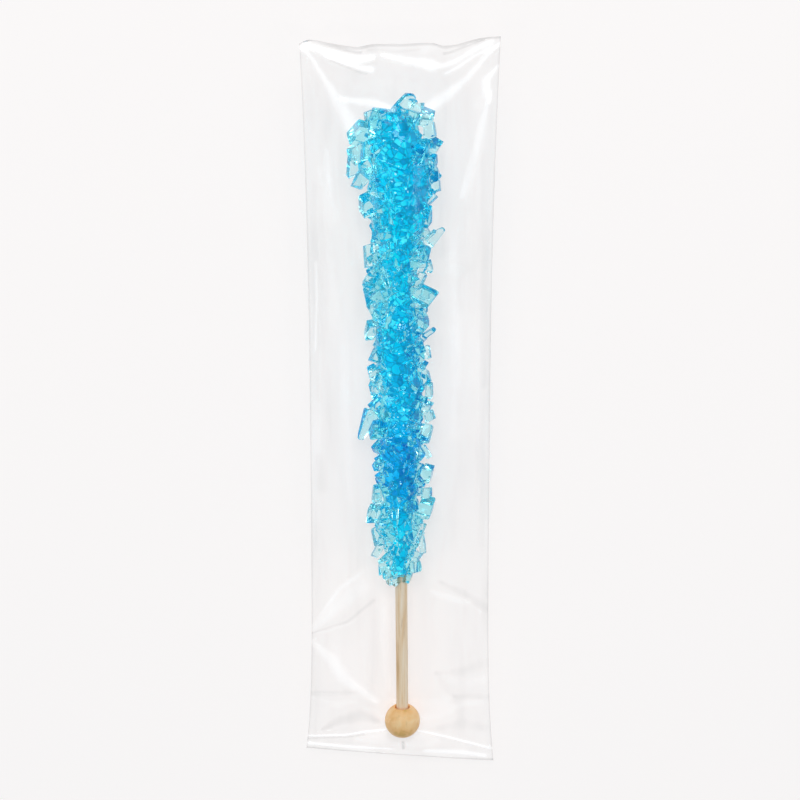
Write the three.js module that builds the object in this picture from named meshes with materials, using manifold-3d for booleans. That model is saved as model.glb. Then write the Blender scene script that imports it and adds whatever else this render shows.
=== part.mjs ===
// A rock candy stick sealed in a clear film bag, lying on its back.
// Millimetres. +Z is up, +Y runs from the wooden bead to the candy's head, and the origin
// is on the ground under the middle of the bag.
import * as THREE from "three";
import { mergeVertices } from "three/addons/utils/BufferGeometryUtils.js";
import Module from "manifold-3d";

const wasm = await Module();
wasm.setup();

// ---------------------------------------------------------------- driving dimensions

const STICK_DIAMETER = 3.2;
const STICK_TOP = 154; // how far the stick reaches above the bead's centre, inside the candy
const STICK_FOOT = -2.6; // its lower end, inside the bead

const BEAD_DIAMETER = 9.5;
const BEAD_MOUTH = 0.5; // how far the bore widens at the bead's mouth

const FIT_GAP = 0.3; // between two pieces that touch
const WRAP_GAP = 0.55; // from the contents to the inside of the bag
const FILM_WALL = 0.35; // the bag's thinnest wall, where the film lies on the contents
const FILM_SLACK = 0.5; // further out, because the film doesn't follow every hollow

const CANDY_FOOT = 40.6; // the candy's lower end, above the bead's centre
const CANDY_LENGTH = 131;
const CORE_DEPTH = 2.7; // how deep the crystals are rooted below the candy's outline
const HEAD_LEAN = -1.1; // the head sits a little to one side of the stick
const LEAN_STARTS = 84; // above the candy's lower end
const HEAD_STARTS = 99;
const SHAFT_DEPTH_SHARE = 0.93; // the candy's depth over its width, below the head
const HEAD_DEPTH_SHARE = 0.87;

const CRYSTAL_COUNT = 184;
const CRYSTAL_SMALLEST = 4.1;
const CRYSTAL_SPREAD = 2.4; // the largest is this much longer than the smallest
const CRYSTAL_SHRINK = 0.9; // how far a tip may stay below the outline
const CRYSTAL_TILT = 0.7; // radians away from standing straight out
const CRYSTAL_SLANT = 0.25; // how far a crystal's sides lean, over its width
const CRYSTAL_SEED = 7;

const BAG_LENGTH = 198.2; // along its middle
const BAG_MIDDLE = 0.75; // y of the middle of that length
const FOOT_SLANT = 1.9; // how far the right corner runs past the middle at the foot seal
const TOP_SLANT = 0.4; // and at the top seal
const BAG_SEAL_WIDTH = 51; // the film's flat width, which the two heat seals keep
const BAG_PULL_IN = 1.85; // how far each side edge draws in between the seals
const BAG_EDGE_HALF = 0.4; // half the bag's thickness at its edges
const TOP_SEAL_HEIGHT = 7;
const FOOT_SEAL_HEIGHT = 3;
const BAG_ROWS = 40;
const BAG_COLUMNS = 18;
const REST_COLUMNS = 3; // columns each side of the middle that lie flat on the ground
const REST_FROM = -91; // the stretch of the bag that lies on the ground
const REST_TO = 80;

const BEAD_CENTRE = new THREE.Vector3(0.65, -87.25, BEAD_DIAMETER / 2 + WRAP_GAP + FILM_WALL);
const HEAD_CENTRE = new THREE.Vector3(-0.5, 68.5, 12.1);

// The candy's outline: [height above its lower end, radius].
const CANDY_OUTLINE = [
  [0, 2.4], [4.6, 4.6], [11.5, 6.6], [21, 7.9], [33, 7.5], [48, 8.7], [64, 8], [80, 9.1],
  [96, 8.8], [104, 9.6], [111, 11.4], [116, 12.1], [120.5, 11.6], [126, 9.8], [129.5, 8],
  [CANDY_LENGTH, 5.4],
];

// The film over its contents: [y, half-width of the raised part, height of its top].
const FILM_OUTLINE = [
  [-98.5, 25, 3.4], [-93.5, 9.5, 8.6], [-87.3, 6.6, 11.9], [-79, 5.2, 10.8], [-65, 4.8, 10.4],
  [-54, 5.6, 11.6], [-41, 8.6, 15.4], [-24, 9.5, 17.4], [1, 11, 19.4], [31, 11.8, 21.4],
  [57, 13, 23.2], [69.5, 13.6, 23.8], [78, 12.8, 23.4], [86, 13.2, 20.6], [92, 18.5, 14],
  [100, 25, 7.4],
];

// Crystals that stand out of the outline, in the stick's frame:
// [sideways, height above the candy's lower end, towards the viewer], [size], [turns].
const BIG_CRYSTALS = [
  { at: [2.6, 130.3, 0.5], size: [3.2, 7.4, 2.4], turn: [0.15, 0.3, -0.45] },
  { at: [9.4, 97, 0.5], size: [6.2, 3.2, 1.7], turn: [0.1, 0.4, 0.5] },
  { at: [-8.2, 44.8, 1], size: [5.4, 6.8, 2], turn: [0.1, -0.35, 0.25] },
  { at: [6.2, 22.4, 2], size: [6, 4.8, 3], turn: [0.1, 0.2, -0.04] },
  { at: [-7, 80.6, 2.4], size: [4, 3.8, 3], turn: [0.2, 0.2, -0.3] },
  { at: [6.6, 81, 2.4], size: [4, 3.6, 3], turn: [0.1, -0.2, 0.12] },
];

// Folds in the film's upper side: each runs from one point to another, as a ridge or a groove.
const FOLDS = [
  { name: "left tension ridge", from: [-25, 97], to: [-11.5, 71], rise: 1.5, reach: 2.6 },
  { name: "right tension ridge", from: [25, 97], to: [9, 80], rise: 1.5, reach: 2.6 },
  { name: "right shoulder ridge", from: [24, 84], to: [15.5, 60], rise: 0.9, reach: 2.6 },
  { name: "left star, upper arm", from: [-23.5, -62.5], to: [-9, -45], rise: 0.8, reach: 2.4 },
  { name: "left star, middle arm", from: [-23.5, -63.5], to: [-8, -57], rise: 0.7, reach: 2.4 },
  { name: "left star, lower arm", from: [-23.5, -65], to: [-11, -80], rise: 0.8, reach: 2.6 },
  { name: "right knee ridge", from: [7, -49], to: [23.5, -62], rise: 0.8, reach: 2.5 },
  { name: "right foot ridge", from: [11, -68], to: [18.5, -84], rise: 0.8, reach: 2.6 },
  { name: "left foot ridge", from: [-4.5, -90], to: [-25, -95], rise: 1, reach: 2.2 },
  { name: "right foot seam", from: [4.5, -90], to: [25, -96], rise: 1, reach: 2.2 },
];

const VENT_RADIUS = 0.6; // a pin vent in the back of the film, under the bead

// ---------------------------------------------------------------- curves and random draws

// A smooth line through a table whose rows start with the place along it; returns column `k`.
function along(table, place, k = 1) {
  const last = table.length - 1;
  if (place <= table[0][0]) return table[0][k];
  if (place >= table[last][0]) return table[last][k];
  const i = table.findIndex((row) => row[0] > place) - 1;
  const slope = (j) => {
    const before = table[Math.max(j - 1, 0)];
    const after = table[Math.min(j + 1, last)];
    return (after[k] - before[k]) / (after[0] - before[0]);
  };
  const span = table[i + 1][0] - table[i][0];
  const t = (place - table[i][0]) / span;
  const rise = table[i + 1][k] - table[i][k];
  const ease = t * t * (3 - 2 * t);
  const leave = t * (1 - t) * (1 - t) * slope(i) * span;
  const arrive = t * t * (t - 1) * slope(i + 1) * span;
  return table[i][k] + rise * ease + leave + arrive;
}

function smoothstep(from, to, value) {
  const t = Math.min(Math.max((value - from) / (to - from), 0), 1);
  return t * t * (3 - 2 * t);
}

// Numbers from 0 to 1, the same on every run.
function drawsFrom(seed) {
  let state = seed;
  return () => {
    state = (state * 16807) % 2147483647;
    return state / 2147483647;
  };
}

// ---------------------------------------------------------------- solids

function solidOf(geometry) {
  const bare = geometry.index ? geometry.toNonIndexed() : geometry.clone();
  bare.deleteAttribute("normal");
  bare.deleteAttribute("uv");
  const merged = mergeVertices(bare, 1e-4);
  return new wasm.Manifold(
    new wasm.Mesh({
      numProp: 3,
      vertProperties: merged.attributes.position.array,
      triVerts: new Uint32Array(merged.index.array),
    }),
  );
}

function geometryOf(solid) {
  const { vertProperties, triVerts, numProp, numVert } = solid.getMesh();
  const places = new Float32Array(numVert * 3);
  for (let i = 0; i < numVert; i++) {
    places.set(vertProperties.subarray(i * numProp, i * numProp + 3), i * 3);
  }
  const geometry = new THREE.BufferGeometry();
  geometry.setAttribute("position", new THREE.BufferAttribute(places, 3));
  geometry.setIndex(new THREE.BufferAttribute(triVerts, 1));
  geometry.computeVertexNormals();
  return geometry;
}

// The one outer body of a union: its sealed gaps are filled and its loose scraps dropped.
function outerBody(solid) {
  return solid.decompose().reduce((a, b) => (a.volume() > b.volume() ? a : b));
}

// ---------------------------------------------------------------- the stick's own frame

// The stick leans: its bead and its head both lie on the ground. In this frame the stick
// runs up +Y from the bead's centre, and +Z is towards the viewer.
const stickFrame = new THREE.Group();
stickFrame.position.copy(BEAD_CENTRE);
stickFrame.quaternion.setFromUnitVectors(
  new THREE.Vector3(0, 1, 0),
  HEAD_CENTRE.clone().sub(BEAD_CENTRE).normalize(),
);
stickFrame.updateMatrixWorld(true);

function rod(radius, from, to, sides = 20) {
  const made = new THREE.CylinderGeometry(radius, radius, to - from, sides);
  return made.translate(0, (from + to) / 2, 0);
}

function makeStick() {
  return rod(STICK_DIAMETER / 2, STICK_FOOT, STICK_TOP);
}

function makeBead() {
  const bore = STICK_DIAMETER / 2 + FIT_GAP;
  const radius = BEAD_DIAMETER / 2;
  const mouth = new THREE.CylinderGeometry(bore + BEAD_MOUTH, bore, BEAD_MOUTH, 20);
  mouth.translate(0, radius - BEAD_MOUTH, 0);
  return geometryOf(
    solidOf(new THREE.SphereGeometry(radius, 20, 11))
      .subtract(solidOf(rod(bore, STICK_FOOT - FIT_GAP, radius + 1)))
      .subtract(solidOf(mouth)),
  );
}

// ---------------------------------------------------------------- the candy

const candyRadius = (height) => along(CANDY_OUTLINE, height);

const candyLean = (height) => HEAD_LEAN * smoothstep(LEAN_STARTS, HEAD_STARTS + 10, height);

function candyDepthShare(height) {
  const head = smoothstep(HEAD_STARTS - 10, HEAD_STARTS + 8, height);
  return SHAFT_DEPTH_SHARE + (HEAD_DEPTH_SHARE - SHAFT_DEPTH_SHARE) * head;
}

// A round body that follows the candy's outline, `outset` outside it.
function candyRound(outset, sides) {
  const profile = [new THREE.Vector2(0, -outset)];
  CANDY_OUTLINE.forEach(([height], i) => {
    const next = CANDY_OUTLINE[Math.min(i + 1, CANDY_OUTLINE.length - 1)][0];
    for (const ring of [height, (height + next) / 2]) {
      const end = ring / CANDY_LENGTH;
      const level = Math.min(Math.max(ring, 0), CANDY_LENGTH) + outset * (2 * end - 1);
      profile.push(new THREE.Vector2(Math.max(candyRadius(ring) + outset, 0.2), level));
    }
  });
  profile.pop();
  profile.push(new THREE.Vector2(0, CANDY_LENGTH + outset));
  const made = new THREE.LatheGeometry(profile, sides);
  const place = made.attributes.position;
  for (let i = 0; i < place.count; i++) {
    const height = place.getY(i);
    place.setX(i, place.getX(i) + candyLean(height));
    place.setZ(i, place.getZ(i) * candyDepthShare(height));
  }
  return made.translate(0, CANDY_FOOT, 0);
}

// One sugar crystal: a slanting block, centred on the origin.
function crystalBlock(size) {
  const slant = new THREE.Matrix4().makeShear(CRYSTAL_SLANT, 0, 0, 0, 0, 0);
  return new THREE.BoxGeometry(...size).applyMatrix4(slant);
}

// The height below which the given share of the candy's surface lies.
function heightAtShare(share) {
  const steps = 200;
  const areas = [0];
  for (let i = 0; i < steps; i++) {
    areas.push(areas[i] + candyRadius((CANDY_LENGTH * (i + 0.5)) / steps));
  }
  const wanted = share * areas[steps];
  const i = areas.findIndex((area) => area > wanted) - 1;
  return (CANDY_LENGTH * (i + (wanted - areas[i]) / (areas[i + 1] - areas[i]))) / steps;
}

// How far a point of the stick's frame stands out of the candy's outline.
function outsideOutline({ x, y, z }) {
  const height = y - CANDY_FOOT;
  const radius = Math.hypot(x - candyLean(height), z / candyDepthShare(height));
  return Math.max(radius - candyRadius(height), -height, height - CANDY_LENGTH);
}

// Where each crystal sits: spread evenly in a spiral, then turned and sized by seeded draws,
// and pushed in until no corner stands out of the outline.
function crystalPlaces() {
  const draw = drawsFrom(CRYSTAL_SEED);
  const goldenAngle = Math.PI * (3 - Math.sqrt(5));
  const places = [];
  for (let i = 0; i < CRYSTAL_COUNT; i++) {
    const height = heightAtShare((i + 0.5) / CRYSTAL_COUNT);
    const angle = i * goldenAngle + (draw() - 0.5) * 0.5;
    const room = Math.min(1, 0.25 + candyRadius(height) / 9);
    const length = room * (CRYSTAL_SMALLEST + CRYSTAL_SPREAD * draw() * draw());
    const size = [length, length * (0.7 + 0.25 * draw()), length * (0.55 + 0.3 * draw())];
    const outward = new THREE.Vector3(Math.cos(angle), 0, Math.sin(angle));
    const turn = new THREE.Quaternion()
      .setFromUnitVectors(new THREE.Vector3(1, 0, 0), outward)
      .multiply(new THREE.Quaternion().setFromEuler(new THREE.Euler(
        draw() * Math.PI * 2,
        (draw() - 0.5) * 2 * CRYSTAL_TILT,
        (draw() - 0.5) * 2 * CRYSTAL_TILT,
      )));
    const middle = new THREE.Vector3(candyLean(height), CANDY_FOOT + height, 0);
    const inward = outward.multiply(new THREE.Vector3(-1, 0, -candyDepthShare(height)));
    inward.y = Math.max(0, 1 - height / 6) - Math.max(0, 1 - (CANDY_LENGTH - height) / 6);
    const at = middle.addScaledVector(inward, -candyRadius(height));
    const sink = CRYSTAL_SHRINK * draw();
    for (let tries = 0; tries < 14; tries++) {
      const corners = placedCrystal({ at, size, turn }).attributes.position;
      let excess = -Infinity;
      for (let k = 0; k < corners.count; k++) {
        const corner = new THREE.Vector3().fromBufferAttribute(corners, k);
        excess = Math.max(excess, outsideOutline(corner));
      }
      at.addScaledVector(inward, excess + sink);
      // A crystal that fits nowhere at this height is a smaller one.
      if (tries > 4 && excess + sink > 0.05) size.forEach((side, k) => (size[k] = side * 0.9));
    }
    places.push({ at, size, turn });
  }
  return places;
}

function bigCrystalPlaces() {
  return BIG_CRYSTALS.map(({ at, size, turn }) => ({
    size,
    turn: new THREE.Quaternion().setFromEuler(new THREE.Euler(...turn)),
    at: new THREE.Vector3(at[0], CANDY_FOOT + at[1], at[2]),
  }));
}

function placedCrystal({ at, size, turn }, outset = 0) {
  return crystalBlock(size.map((side) => side + 2 * outset))
    .applyQuaternion(turn)
    .translate(at.x, at.y, at.z);
}

function makeCandy() {
  const crystals = [...crystalPlaces(), ...bigCrystalPlaces()].map((place) =>
    solidOf(placedCrystal(place)),
  );
  const fused = crystals.reduce((a, b) => a.add(b), solidOf(candyRound(-CORE_DEPTH, 11)));
  const bore = rod(STICK_DIAMETER / 2 + FIT_GAP, -CANDY_FOOT, STICK_TOP + FIT_GAP);
  return geometryOf(outerBody(outerBody(fused).subtract(solidOf(bore))));
}

// ---------------------------------------------------------------- the bag

const half = BAG_LENGTH / 2;

// From -1 at the foot seal to 1 at the top seal.
const upBag = (y) => (y - BAG_MIDDLE) / half;

// The side edge draws in slowly below the top seal and quickly above the foot seal.
function bagHalfWidth(y) {
  const power = y > 0 ? 2.2 : 6;
  return BAG_SEAL_WIDTH / 2 - BAG_PULL_IN * (1 - Math.abs(upBag(y)) ** power);
}

// The right side is a little longer than the left, so both seals slant.
function slanted(x, y) {
  const slant = y > 0 ? TOP_SLANT : -FOOT_SLANT;
  return y + ((slant * x) / (BAG_SEAL_WIDTH / 2)) * upBag(y) ** 6;
}

function edgeHeight(y) {
  return FOOT_SEAL_HEIGHT + (TOP_SEAL_HEIGHT - FOOT_SEAL_HEIGHT) * (1 + upBag(y)) * 0.5;
}

function stickAt(y) {
  return BEAD_CENTRE.clone().lerp(
    HEAD_CENTRE,
    (y - BEAD_CENTRE.y) / (HEAD_CENTRE.y - BEAD_CENTRE.y),
  );
}

// The film's cross-section at y: half an ellipse over the contents, and the height of the
// side edges. At both ends it sinks to the flat seal.
function filmSection(y) {
  const middle = stickAt(y);
  const height = y - BEAD_CENTRE.y - CANDY_FOOT;
  const edge = edgeHeight(y) + BAG_EDGE_HALF;
  const flat = smoothstep(0.87, 0.98, Math.abs(upBag(y)));
  const base = middle.z + (edge - middle.z) * flat;
  let wide = along(FILM_OUTLINE, y, 1);
  let tall = along(FILM_OUTLINE, y, 2) - base;
  if (height >= 0 && height <= CANDY_LENGTH) {
    const shell = WRAP_GAP + FILM_WALL + FILM_SLACK;
    wide = Math.max(wide, candyRadius(height) + shell);
    tall = Math.max(tall, candyRadius(height) * candyDepthShare(height) + shell);
  }
  const shift = (middle.x + candyLean(height)) * (1 - flat);
  return { base, edge, shift, wide, tall: Math.max(tall, 0.01) };
}

// The film runs tight: from the side edge it goes straight to where it touches the ellipse,
// and from there it follows the ellipse.
function tightFilm(x, y) {
  const { base, edge, shift, wide, tall } = filmSection(y);
  const from = x - shift;
  const edgeX = bagHalfWidth(y) - Math.sign(from) * shift;
  const [outX, outZ] = [Math.max(edgeX / wide, 1.001), (edge - base) / tall];
  const touch = Math.atan2(outZ, outX) + Math.acos(1 / Math.hypot(outX, outZ));
  const [touchX, touchZ] = [Math.cos(touch), Math.sin(touch)];
  const u = Math.abs(from) / wide;
  if (u <= touchX) return base + tall * Math.sqrt(1 - u * u);
  const share = Math.min((u - touchX) / (outX - touchX), 1);
  return base + tall * (touchZ + (outZ - touchZ) * share);
}

// How far a fold lifts the film at a point. Its two ends fade out.
function foldLift({ from, to, rise, reach }, x, y) {
  const [dx, dy] = [to[0] - from[0], to[1] - from[1]];
  const length = Math.hypot(dx, dy);
  const t = ((x - from[0]) * dx + (y - from[1]) * dy) / length ** 2;
  const off = Math.abs((x - from[0]) * dy - (y - from[1]) * dx) / length;
  const fade = smoothstep(-0.1, 0.2, t) * (1 - smoothstep(0.75, 1.1, t));
  return rise * fade * Math.exp(-off / reach);
}

function bagTop(x, y) {
  const fromEdge = bagHalfWidth(y) - Math.abs(x);
  const fromSeal = half * (1 - Math.abs(upBag(y)));
  const free = smoothstep(0, 3, fromEdge) * smoothstep(0, 3, fromSeal);
  const lift = FOLDS.reduce((sum, fold) => sum + foldLift(fold, x, y), 0);
  return tightFilm(x, y) + lift * free;
}

function bagUnder(y, column) {
  const seal = edgeHeight(y) - BAG_EDGE_HALF;
  const end = Math.max(
    smoothstep(REST_TO, BAG_MIDDLE + half, y),
    1 - smoothstep(BAG_MIDDLE - half, REST_FROM, y),
  );
  const side = Math.max(Math.abs(column) - REST_COLUMNS, 0) / (BAG_COLUMNS / 2 - REST_COLUMNS);
  return seal * Math.max(end, side + end * (1 - side));
}

function makeBagOutside() {
  const places = [];
  const ring = 2 * (BAG_COLUMNS + 1);
  for (let row = 0; row <= BAG_ROWS; row++) {
    const y = BAG_MIDDLE - half + (BAG_LENGTH * row) / BAG_ROWS;
    const step = (2 * bagHalfWidth(y)) / BAG_COLUMNS;
    for (let i = 0; i <= BAG_COLUMNS; i++) {
      const column = i - BAG_COLUMNS / 2;
      places.push(column * step, slanted(column * step, y), bagTop(column * step, y));
    }
    for (let i = 0; i <= BAG_COLUMNS; i++) {
      const column = BAG_COLUMNS / 2 - i;
      places.push(column * step, slanted(column * step, y), bagUnder(y, column));
    }
  }
  const faces = [];
  const quad = (a, b, c, d) => faces.push(a, b, c, a, c, d);
  for (let row = 0; row < BAG_ROWS; row++) {
    for (let i = 0; i < ring; i++) {
      const next = (i + 1) % ring;
      quad(row * ring + i, row * ring + next, (row + 1) * ring + next, (row + 1) * ring + i);
    }
  }
  const last = BAG_ROWS * ring;
  for (let i = 0; i < BAG_COLUMNS; i++) {
    const under = ring - 1 - i;
    quad(i, under, under - 1, i + 1);
    quad(last + i, last + i + 1, last + under - 1, last + under);
  }
  const made = new THREE.BufferGeometry();
  made.setAttribute("position", new THREE.Float32BufferAttribute(places, 3));
  made.setIndex(faces);
  return made;
}

// The room that the candy, the stick and the bead take up inside the bag.
function makePocket() {
  const parts = [
    candyRound(WRAP_GAP, 16),
    rod(STICK_DIAMETER / 2 + WRAP_GAP, 0, CANDY_FOOT + 2, 12),
    new THREE.SphereGeometry(BEAD_DIAMETER / 2 + WRAP_GAP, 16, 10),
    ...bigCrystalPlaces().map((place) => placedCrystal(place, WRAP_GAP)),
  ];
  return parts
    .map((part) => solidOf(part.applyMatrix4(stickFrame.matrixWorld)))
    .reduce((a, b) => a.add(b));
}

function makeBag() {
  const vent = rod(VENT_RADIUS, -1, BEAD_CENTRE.z, 10)
    .rotateX(Math.PI / 2)
    .translate(BEAD_CENTRE.x, BEAD_CENTRE.y, 0);
  const filled = solidOf(makeBagOutside());
  return geometryOf(filled.subtract(makePocket()).subtract(solidOf(vent)));
}

// ---------------------------------------------------------------- the model

const birch = new THREE.MeshStandardMaterial({ color: 0xd9bd93, roughness: 0.7 });
const beech = new THREE.MeshStandardMaterial({ color: 0xdcae72, roughness: 0.55 });
const blueSugar = new THREE.MeshStandardMaterial({
  color: 0x1fa9dc,
  roughness: 0.12,
  flatShading: true,
});
const clearFilm = new THREE.MeshStandardMaterial({
  color: 0xf4f8fa,
  roughness: 0.08,
  transparent: true,
  opacity: 0.22,
  depthWrite: false,
});

function named(name, geometry, material) {
  const mesh = new THREE.Mesh(geometry, material);
  mesh.name = name;
  return mesh;
}

stickFrame.add(
  named("stick", makeStick(), birch),
  named("bead", makeBead(), beech),
  named("rock_candy", makeCandy(), blueSugar),
);

const model = new THREE.Group();
model.add(stickFrame, named("bag", makeBag(), clearFilm));

export default model;
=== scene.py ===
# %% [markdown]
# # A rock candy stick in its clear film bag
# The sweet is a wooden stick with a ball end, hung in strong blue sugar syrup until crystals
# grow on it, then sealed in a sleeve of clear film. The solids from CAD are loaded first, and
# everything made here lies where they lie: in metres, on its back on the ground, with +Y
# running from the ball to the candy's head.

# %% Load the solids
import math
import random

import bmesh
import bpy
import numpy as np
from mathutils import Matrix, Quaternion, Vector


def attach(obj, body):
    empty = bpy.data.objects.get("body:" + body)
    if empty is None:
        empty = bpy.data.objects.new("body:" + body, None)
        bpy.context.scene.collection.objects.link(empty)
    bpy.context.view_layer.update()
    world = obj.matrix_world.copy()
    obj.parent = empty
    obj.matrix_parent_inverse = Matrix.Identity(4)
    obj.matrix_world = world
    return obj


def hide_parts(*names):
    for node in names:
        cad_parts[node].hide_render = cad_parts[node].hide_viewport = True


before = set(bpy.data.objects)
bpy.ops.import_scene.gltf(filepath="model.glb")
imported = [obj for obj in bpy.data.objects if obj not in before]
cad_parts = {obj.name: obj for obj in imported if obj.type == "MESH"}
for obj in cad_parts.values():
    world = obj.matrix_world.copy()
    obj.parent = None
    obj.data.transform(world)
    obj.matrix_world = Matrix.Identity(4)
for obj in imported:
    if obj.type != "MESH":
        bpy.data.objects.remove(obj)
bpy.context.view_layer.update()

MM = 0.001

# %% [markdown]
# ## The camera
# A product picture of something this slim is taken with a long lens, so the sides stay nearly
# parallel. The bag lies on the ground, so the camera looks down on it, tipped a little
# towards its head, as it would be level with a hanging one.

# %% Camera
CAMERA_DISTANCE = 0.835
CAMERA_TIP = math.radians(17.5)
LENS, SENSOR = 143.6, 36
AIM = Vector((0, 0.00365, 0.006))

back = Vector((0, math.sin(CAMERA_TIP), math.cos(CAMERA_TIP)))
up = Vector((0, math.cos(CAMERA_TIP), -math.sin(CAMERA_TIP)))
camera_data = bpy.data.cameras.new("camera")
camera_data.lens = LENS
camera_data.sensor_width = SENSOR
camera = bpy.data.objects.new("camera", camera_data)
camera.matrix_world = Matrix.Translation(AIM + back * CAMERA_DISTANCE) @ Matrix(
    (up.cross(back), up, back)
).transposed().to_4x4()
bpy.context.scene.collection.objects.link(camera)
bpy.context.scene.camera = camera
print("lens", LENS, "mm from", CAMERA_DISTANCE, "m")

# %% [markdown]
# ## Shared curves
# The outline of the candy, and the film's height over it, are the same tables as the
# solids were made from. A smooth curve through a short table gives a form with no dents,
# and one table keeps the crystals, the core and the film in step with each other.

# %% Curves through tables


def curve(table, column=1):
    """A smooth function through a table whose rows start with the place along it."""
    xs = np.array([row[0] for row in table], float)
    ys = np.array([row[column] for row in table], float)
    slopes = np.gradient(ys, xs)
    slopes[1:-1] = (ys[2:] - ys[:-2]) / (xs[2:] - xs[:-2])

    def at(x):
        x = np.clip(x, xs[0], xs[-1])
        i = np.clip(np.searchsorted(xs, x, side="right") - 1, 0, len(xs) - 2)
        span = xs[i + 1] - xs[i]
        t = (x - xs[i]) / span
        leave, arrive = slopes[i] * span, slopes[i + 1] * span
        rise = ys[i + 1] - ys[i]
        return (
            ys[i]
            + rise * t * t * (3 - 2 * t)
            + t * (1 - t) ** 2 * leave
            + t * t * (t - 1) * arrive
        )

    return at


def smoothstep(start, end, value):
    t = np.clip((value - start) / (end - start), 0, 1)
    return t * t * (3 - 2 * t)


# Millimetres: height above the candy's lower end, and radius.
CANDY_LENGTH = 131
CANDY_OUTLINE = [
    (0, 2.4), (4.6, 4.6), (11.5, 6.6), (21, 7.9), (33, 7.5), (48, 8.7), (64, 8), (80, 9.1),
    (96, 8.8), (104, 9.6), (111, 11.4), (116, 12.1), (120.5, 11.6), (126, 9.8), (129.5, 8),
    (CANDY_LENGTH, 5.4),
]
candy_radius = curve(CANDY_OUTLINE)

# The head leans to the left, and the candy is a little flatter than it is wide. The numbers
# in each span are the heights between which the form changes.
HEAD_LEAN, LEAN_SPAN = -1.1, (84, 109)
SHAFT_DEPTH, HEAD_DEPTH, DEPTH_SPAN = 0.93, 0.87, (89, 107)
# From the ball's centre to the candy's lower end.
CANDY_FOOT = 40.6
STICK_DIAMETER = 3.2
BEAD_DIAMETER = 9.5
BEAD_CENTRE = Vector((0.65, -87.25, 5.65))
HEAD_CENTRE = Vector((-0.5, 68.5, 12.1))


def candy_lean(height):
    return HEAD_LEAN * smoothstep(*LEAN_SPAN, height)


def depth_share(height):
    return SHAFT_DEPTH + (HEAD_DEPTH - SHAFT_DEPTH) * smoothstep(*DEPTH_SPAN, height)


# The stick's own frame: its foot is the ball's centre, +Y runs up the stick.
stick_turn = Vector((0, 1, 0)).rotation_difference((HEAD_CENTRE - BEAD_CENTRE).normalized())
STICK_FRAME = np.array(Matrix.Translation(BEAD_CENTRE) @ stick_turn.to_matrix().to_4x4())


def to_row_frame(points):
    """Points of the stick's frame in millimetres, as points of the model in metres."""
    points = np.asarray(points, float)
    return (points @ STICK_FRAME[:3, :3].T + STICK_FRAME[:3, 3]) * MM


print("candy is", round(2 * float(candy_radius(116.0)), 1), "mm across at its head")

# %% [markdown]
# ## Turning arrays into pieces
# Every piece here is made as an array of points and a list of faces, because a few hundred
# crystals or forty thousand film faces are slow to add one at a time in edit mode.

# %% Piece helper


def make_piece(name, points, faces, smooth=False):
    mesh = bpy.data.meshes.new(name)
    mesh.from_pydata(np.asarray(points).tolist(), [], [list(map(int, f)) for f in faces])
    mesh.validate()
    mesh.update()
    mesh.shade_smooth() if smooth else mesh.shade_flat()
    piece = bpy.data.objects.new(name, mesh)
    bpy.context.scene.collection.objects.link(piece)
    return piece


def triangle_count(piece):
    piece.data.calc_loop_triangles()
    return len(piece.data.loop_triangles)


# %% [markdown]
# ## Sugar crystals
# Rock sugar grows as slanting blocks with flat faces and a few cut corners. A cube pushed
# out of square, with some corners sliced off, has the right look, and a dozen of these shapes,
# turned and stretched differently, are enough that no two seem alike. Syrup leaves the edges
# slightly round, so each gets a small bevel, which catches a thin line of light. A last convex
# hull makes sure that every shape is closed, which joining them needs.

# %% Crystal shapes
# For a block one unit long: how far it leans, how far its corners stray, and the tilt and
# the distance from its middle of the planes that cut its corners off.
CRYSTAL_SLANT, CORNER_WOBBLE = 0.25, 0.03
CUT_TILT, CUT_DISTANCE = (0.35, 1), (0.5, 0.62)
FLAT_ANGLE = math.radians(5)
shape_draw = random.Random(11)


def hull_of(points):
    """The closed convex body round some points, as an array of points and its triangles."""
    body = bmesh.new()
    for point in points:
        body.verts.new(point)
    hull = bmesh.ops.convex_hull(body, input=body.verts)
    inside = {v for v in hull["geom_interior"] if isinstance(v, bmesh.types.BMVert)}
    bmesh.ops.delete(body, geom=list(inside), context="VERTS")
    bmesh.ops.recalc_face_normals(body, faces=body.faces[:])
    body.verts.index_update()
    result = np.array([v.co for v in body.verts]), [[v.index for v in f.verts] for f in body.faces]
    body.free()
    return result


def crystal_shape(taper, cuts, bevel=0.07):
    """A slanting block about one unit long, with its taper, cut corners and rounded edges."""
    solid = bmesh.new()
    bmesh.ops.create_cube(solid, size=1)
    for vert in solid.verts:
        narrow = 1 - taper * (vert.co.y + 0.5)
        vert.co.x *= narrow
        vert.co.z *= narrow
        vert.co.x += CRYSTAL_SLANT * vert.co.y
        for k in range(3):
            vert.co[k] += shape_draw.uniform(-CORNER_WOBBLE, CORNER_WOBBLE)
    for _ in range(cuts):
        corner = Vector([shape_draw.choice((-1, 1)) for _ in range(3)])
        tilt = Vector([shape_draw.uniform(*CUT_TILT) for _ in range(3)])
        normal = Vector(c * t for c, t in zip(corner, tilt)).normalized()
        bmesh.ops.bisect_plane(
            solid,
            geom=solid.verts[:] + solid.edges[:] + solid.faces[:],
            plane_co=normal * shape_draw.uniform(*CUT_DISTANCE),
            plane_no=normal,
            clear_outer=True,
        )
    points, faces = hull_of([v.co for v in solid.verts])
    solid.clear()
    corners = [solid.verts.new(point) for point in points]
    for face in faces:
        solid.faces.new([corners[i] for i in face])
    bmesh.ops.dissolve_limit(
        solid, angle_limit=FLAT_ANGLE, verts=solid.verts[:], edges=solid.edges[:]
    )
    bmesh.ops.bevel(
        solid, geom=solid.edges[:], offset=bevel, segments=2, profile=0.55, affect="EDGES",
        clamp_overlap=True,
    )
    result = hull_of([v.co for v in solid.verts])
    solid.free()
    return result


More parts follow.
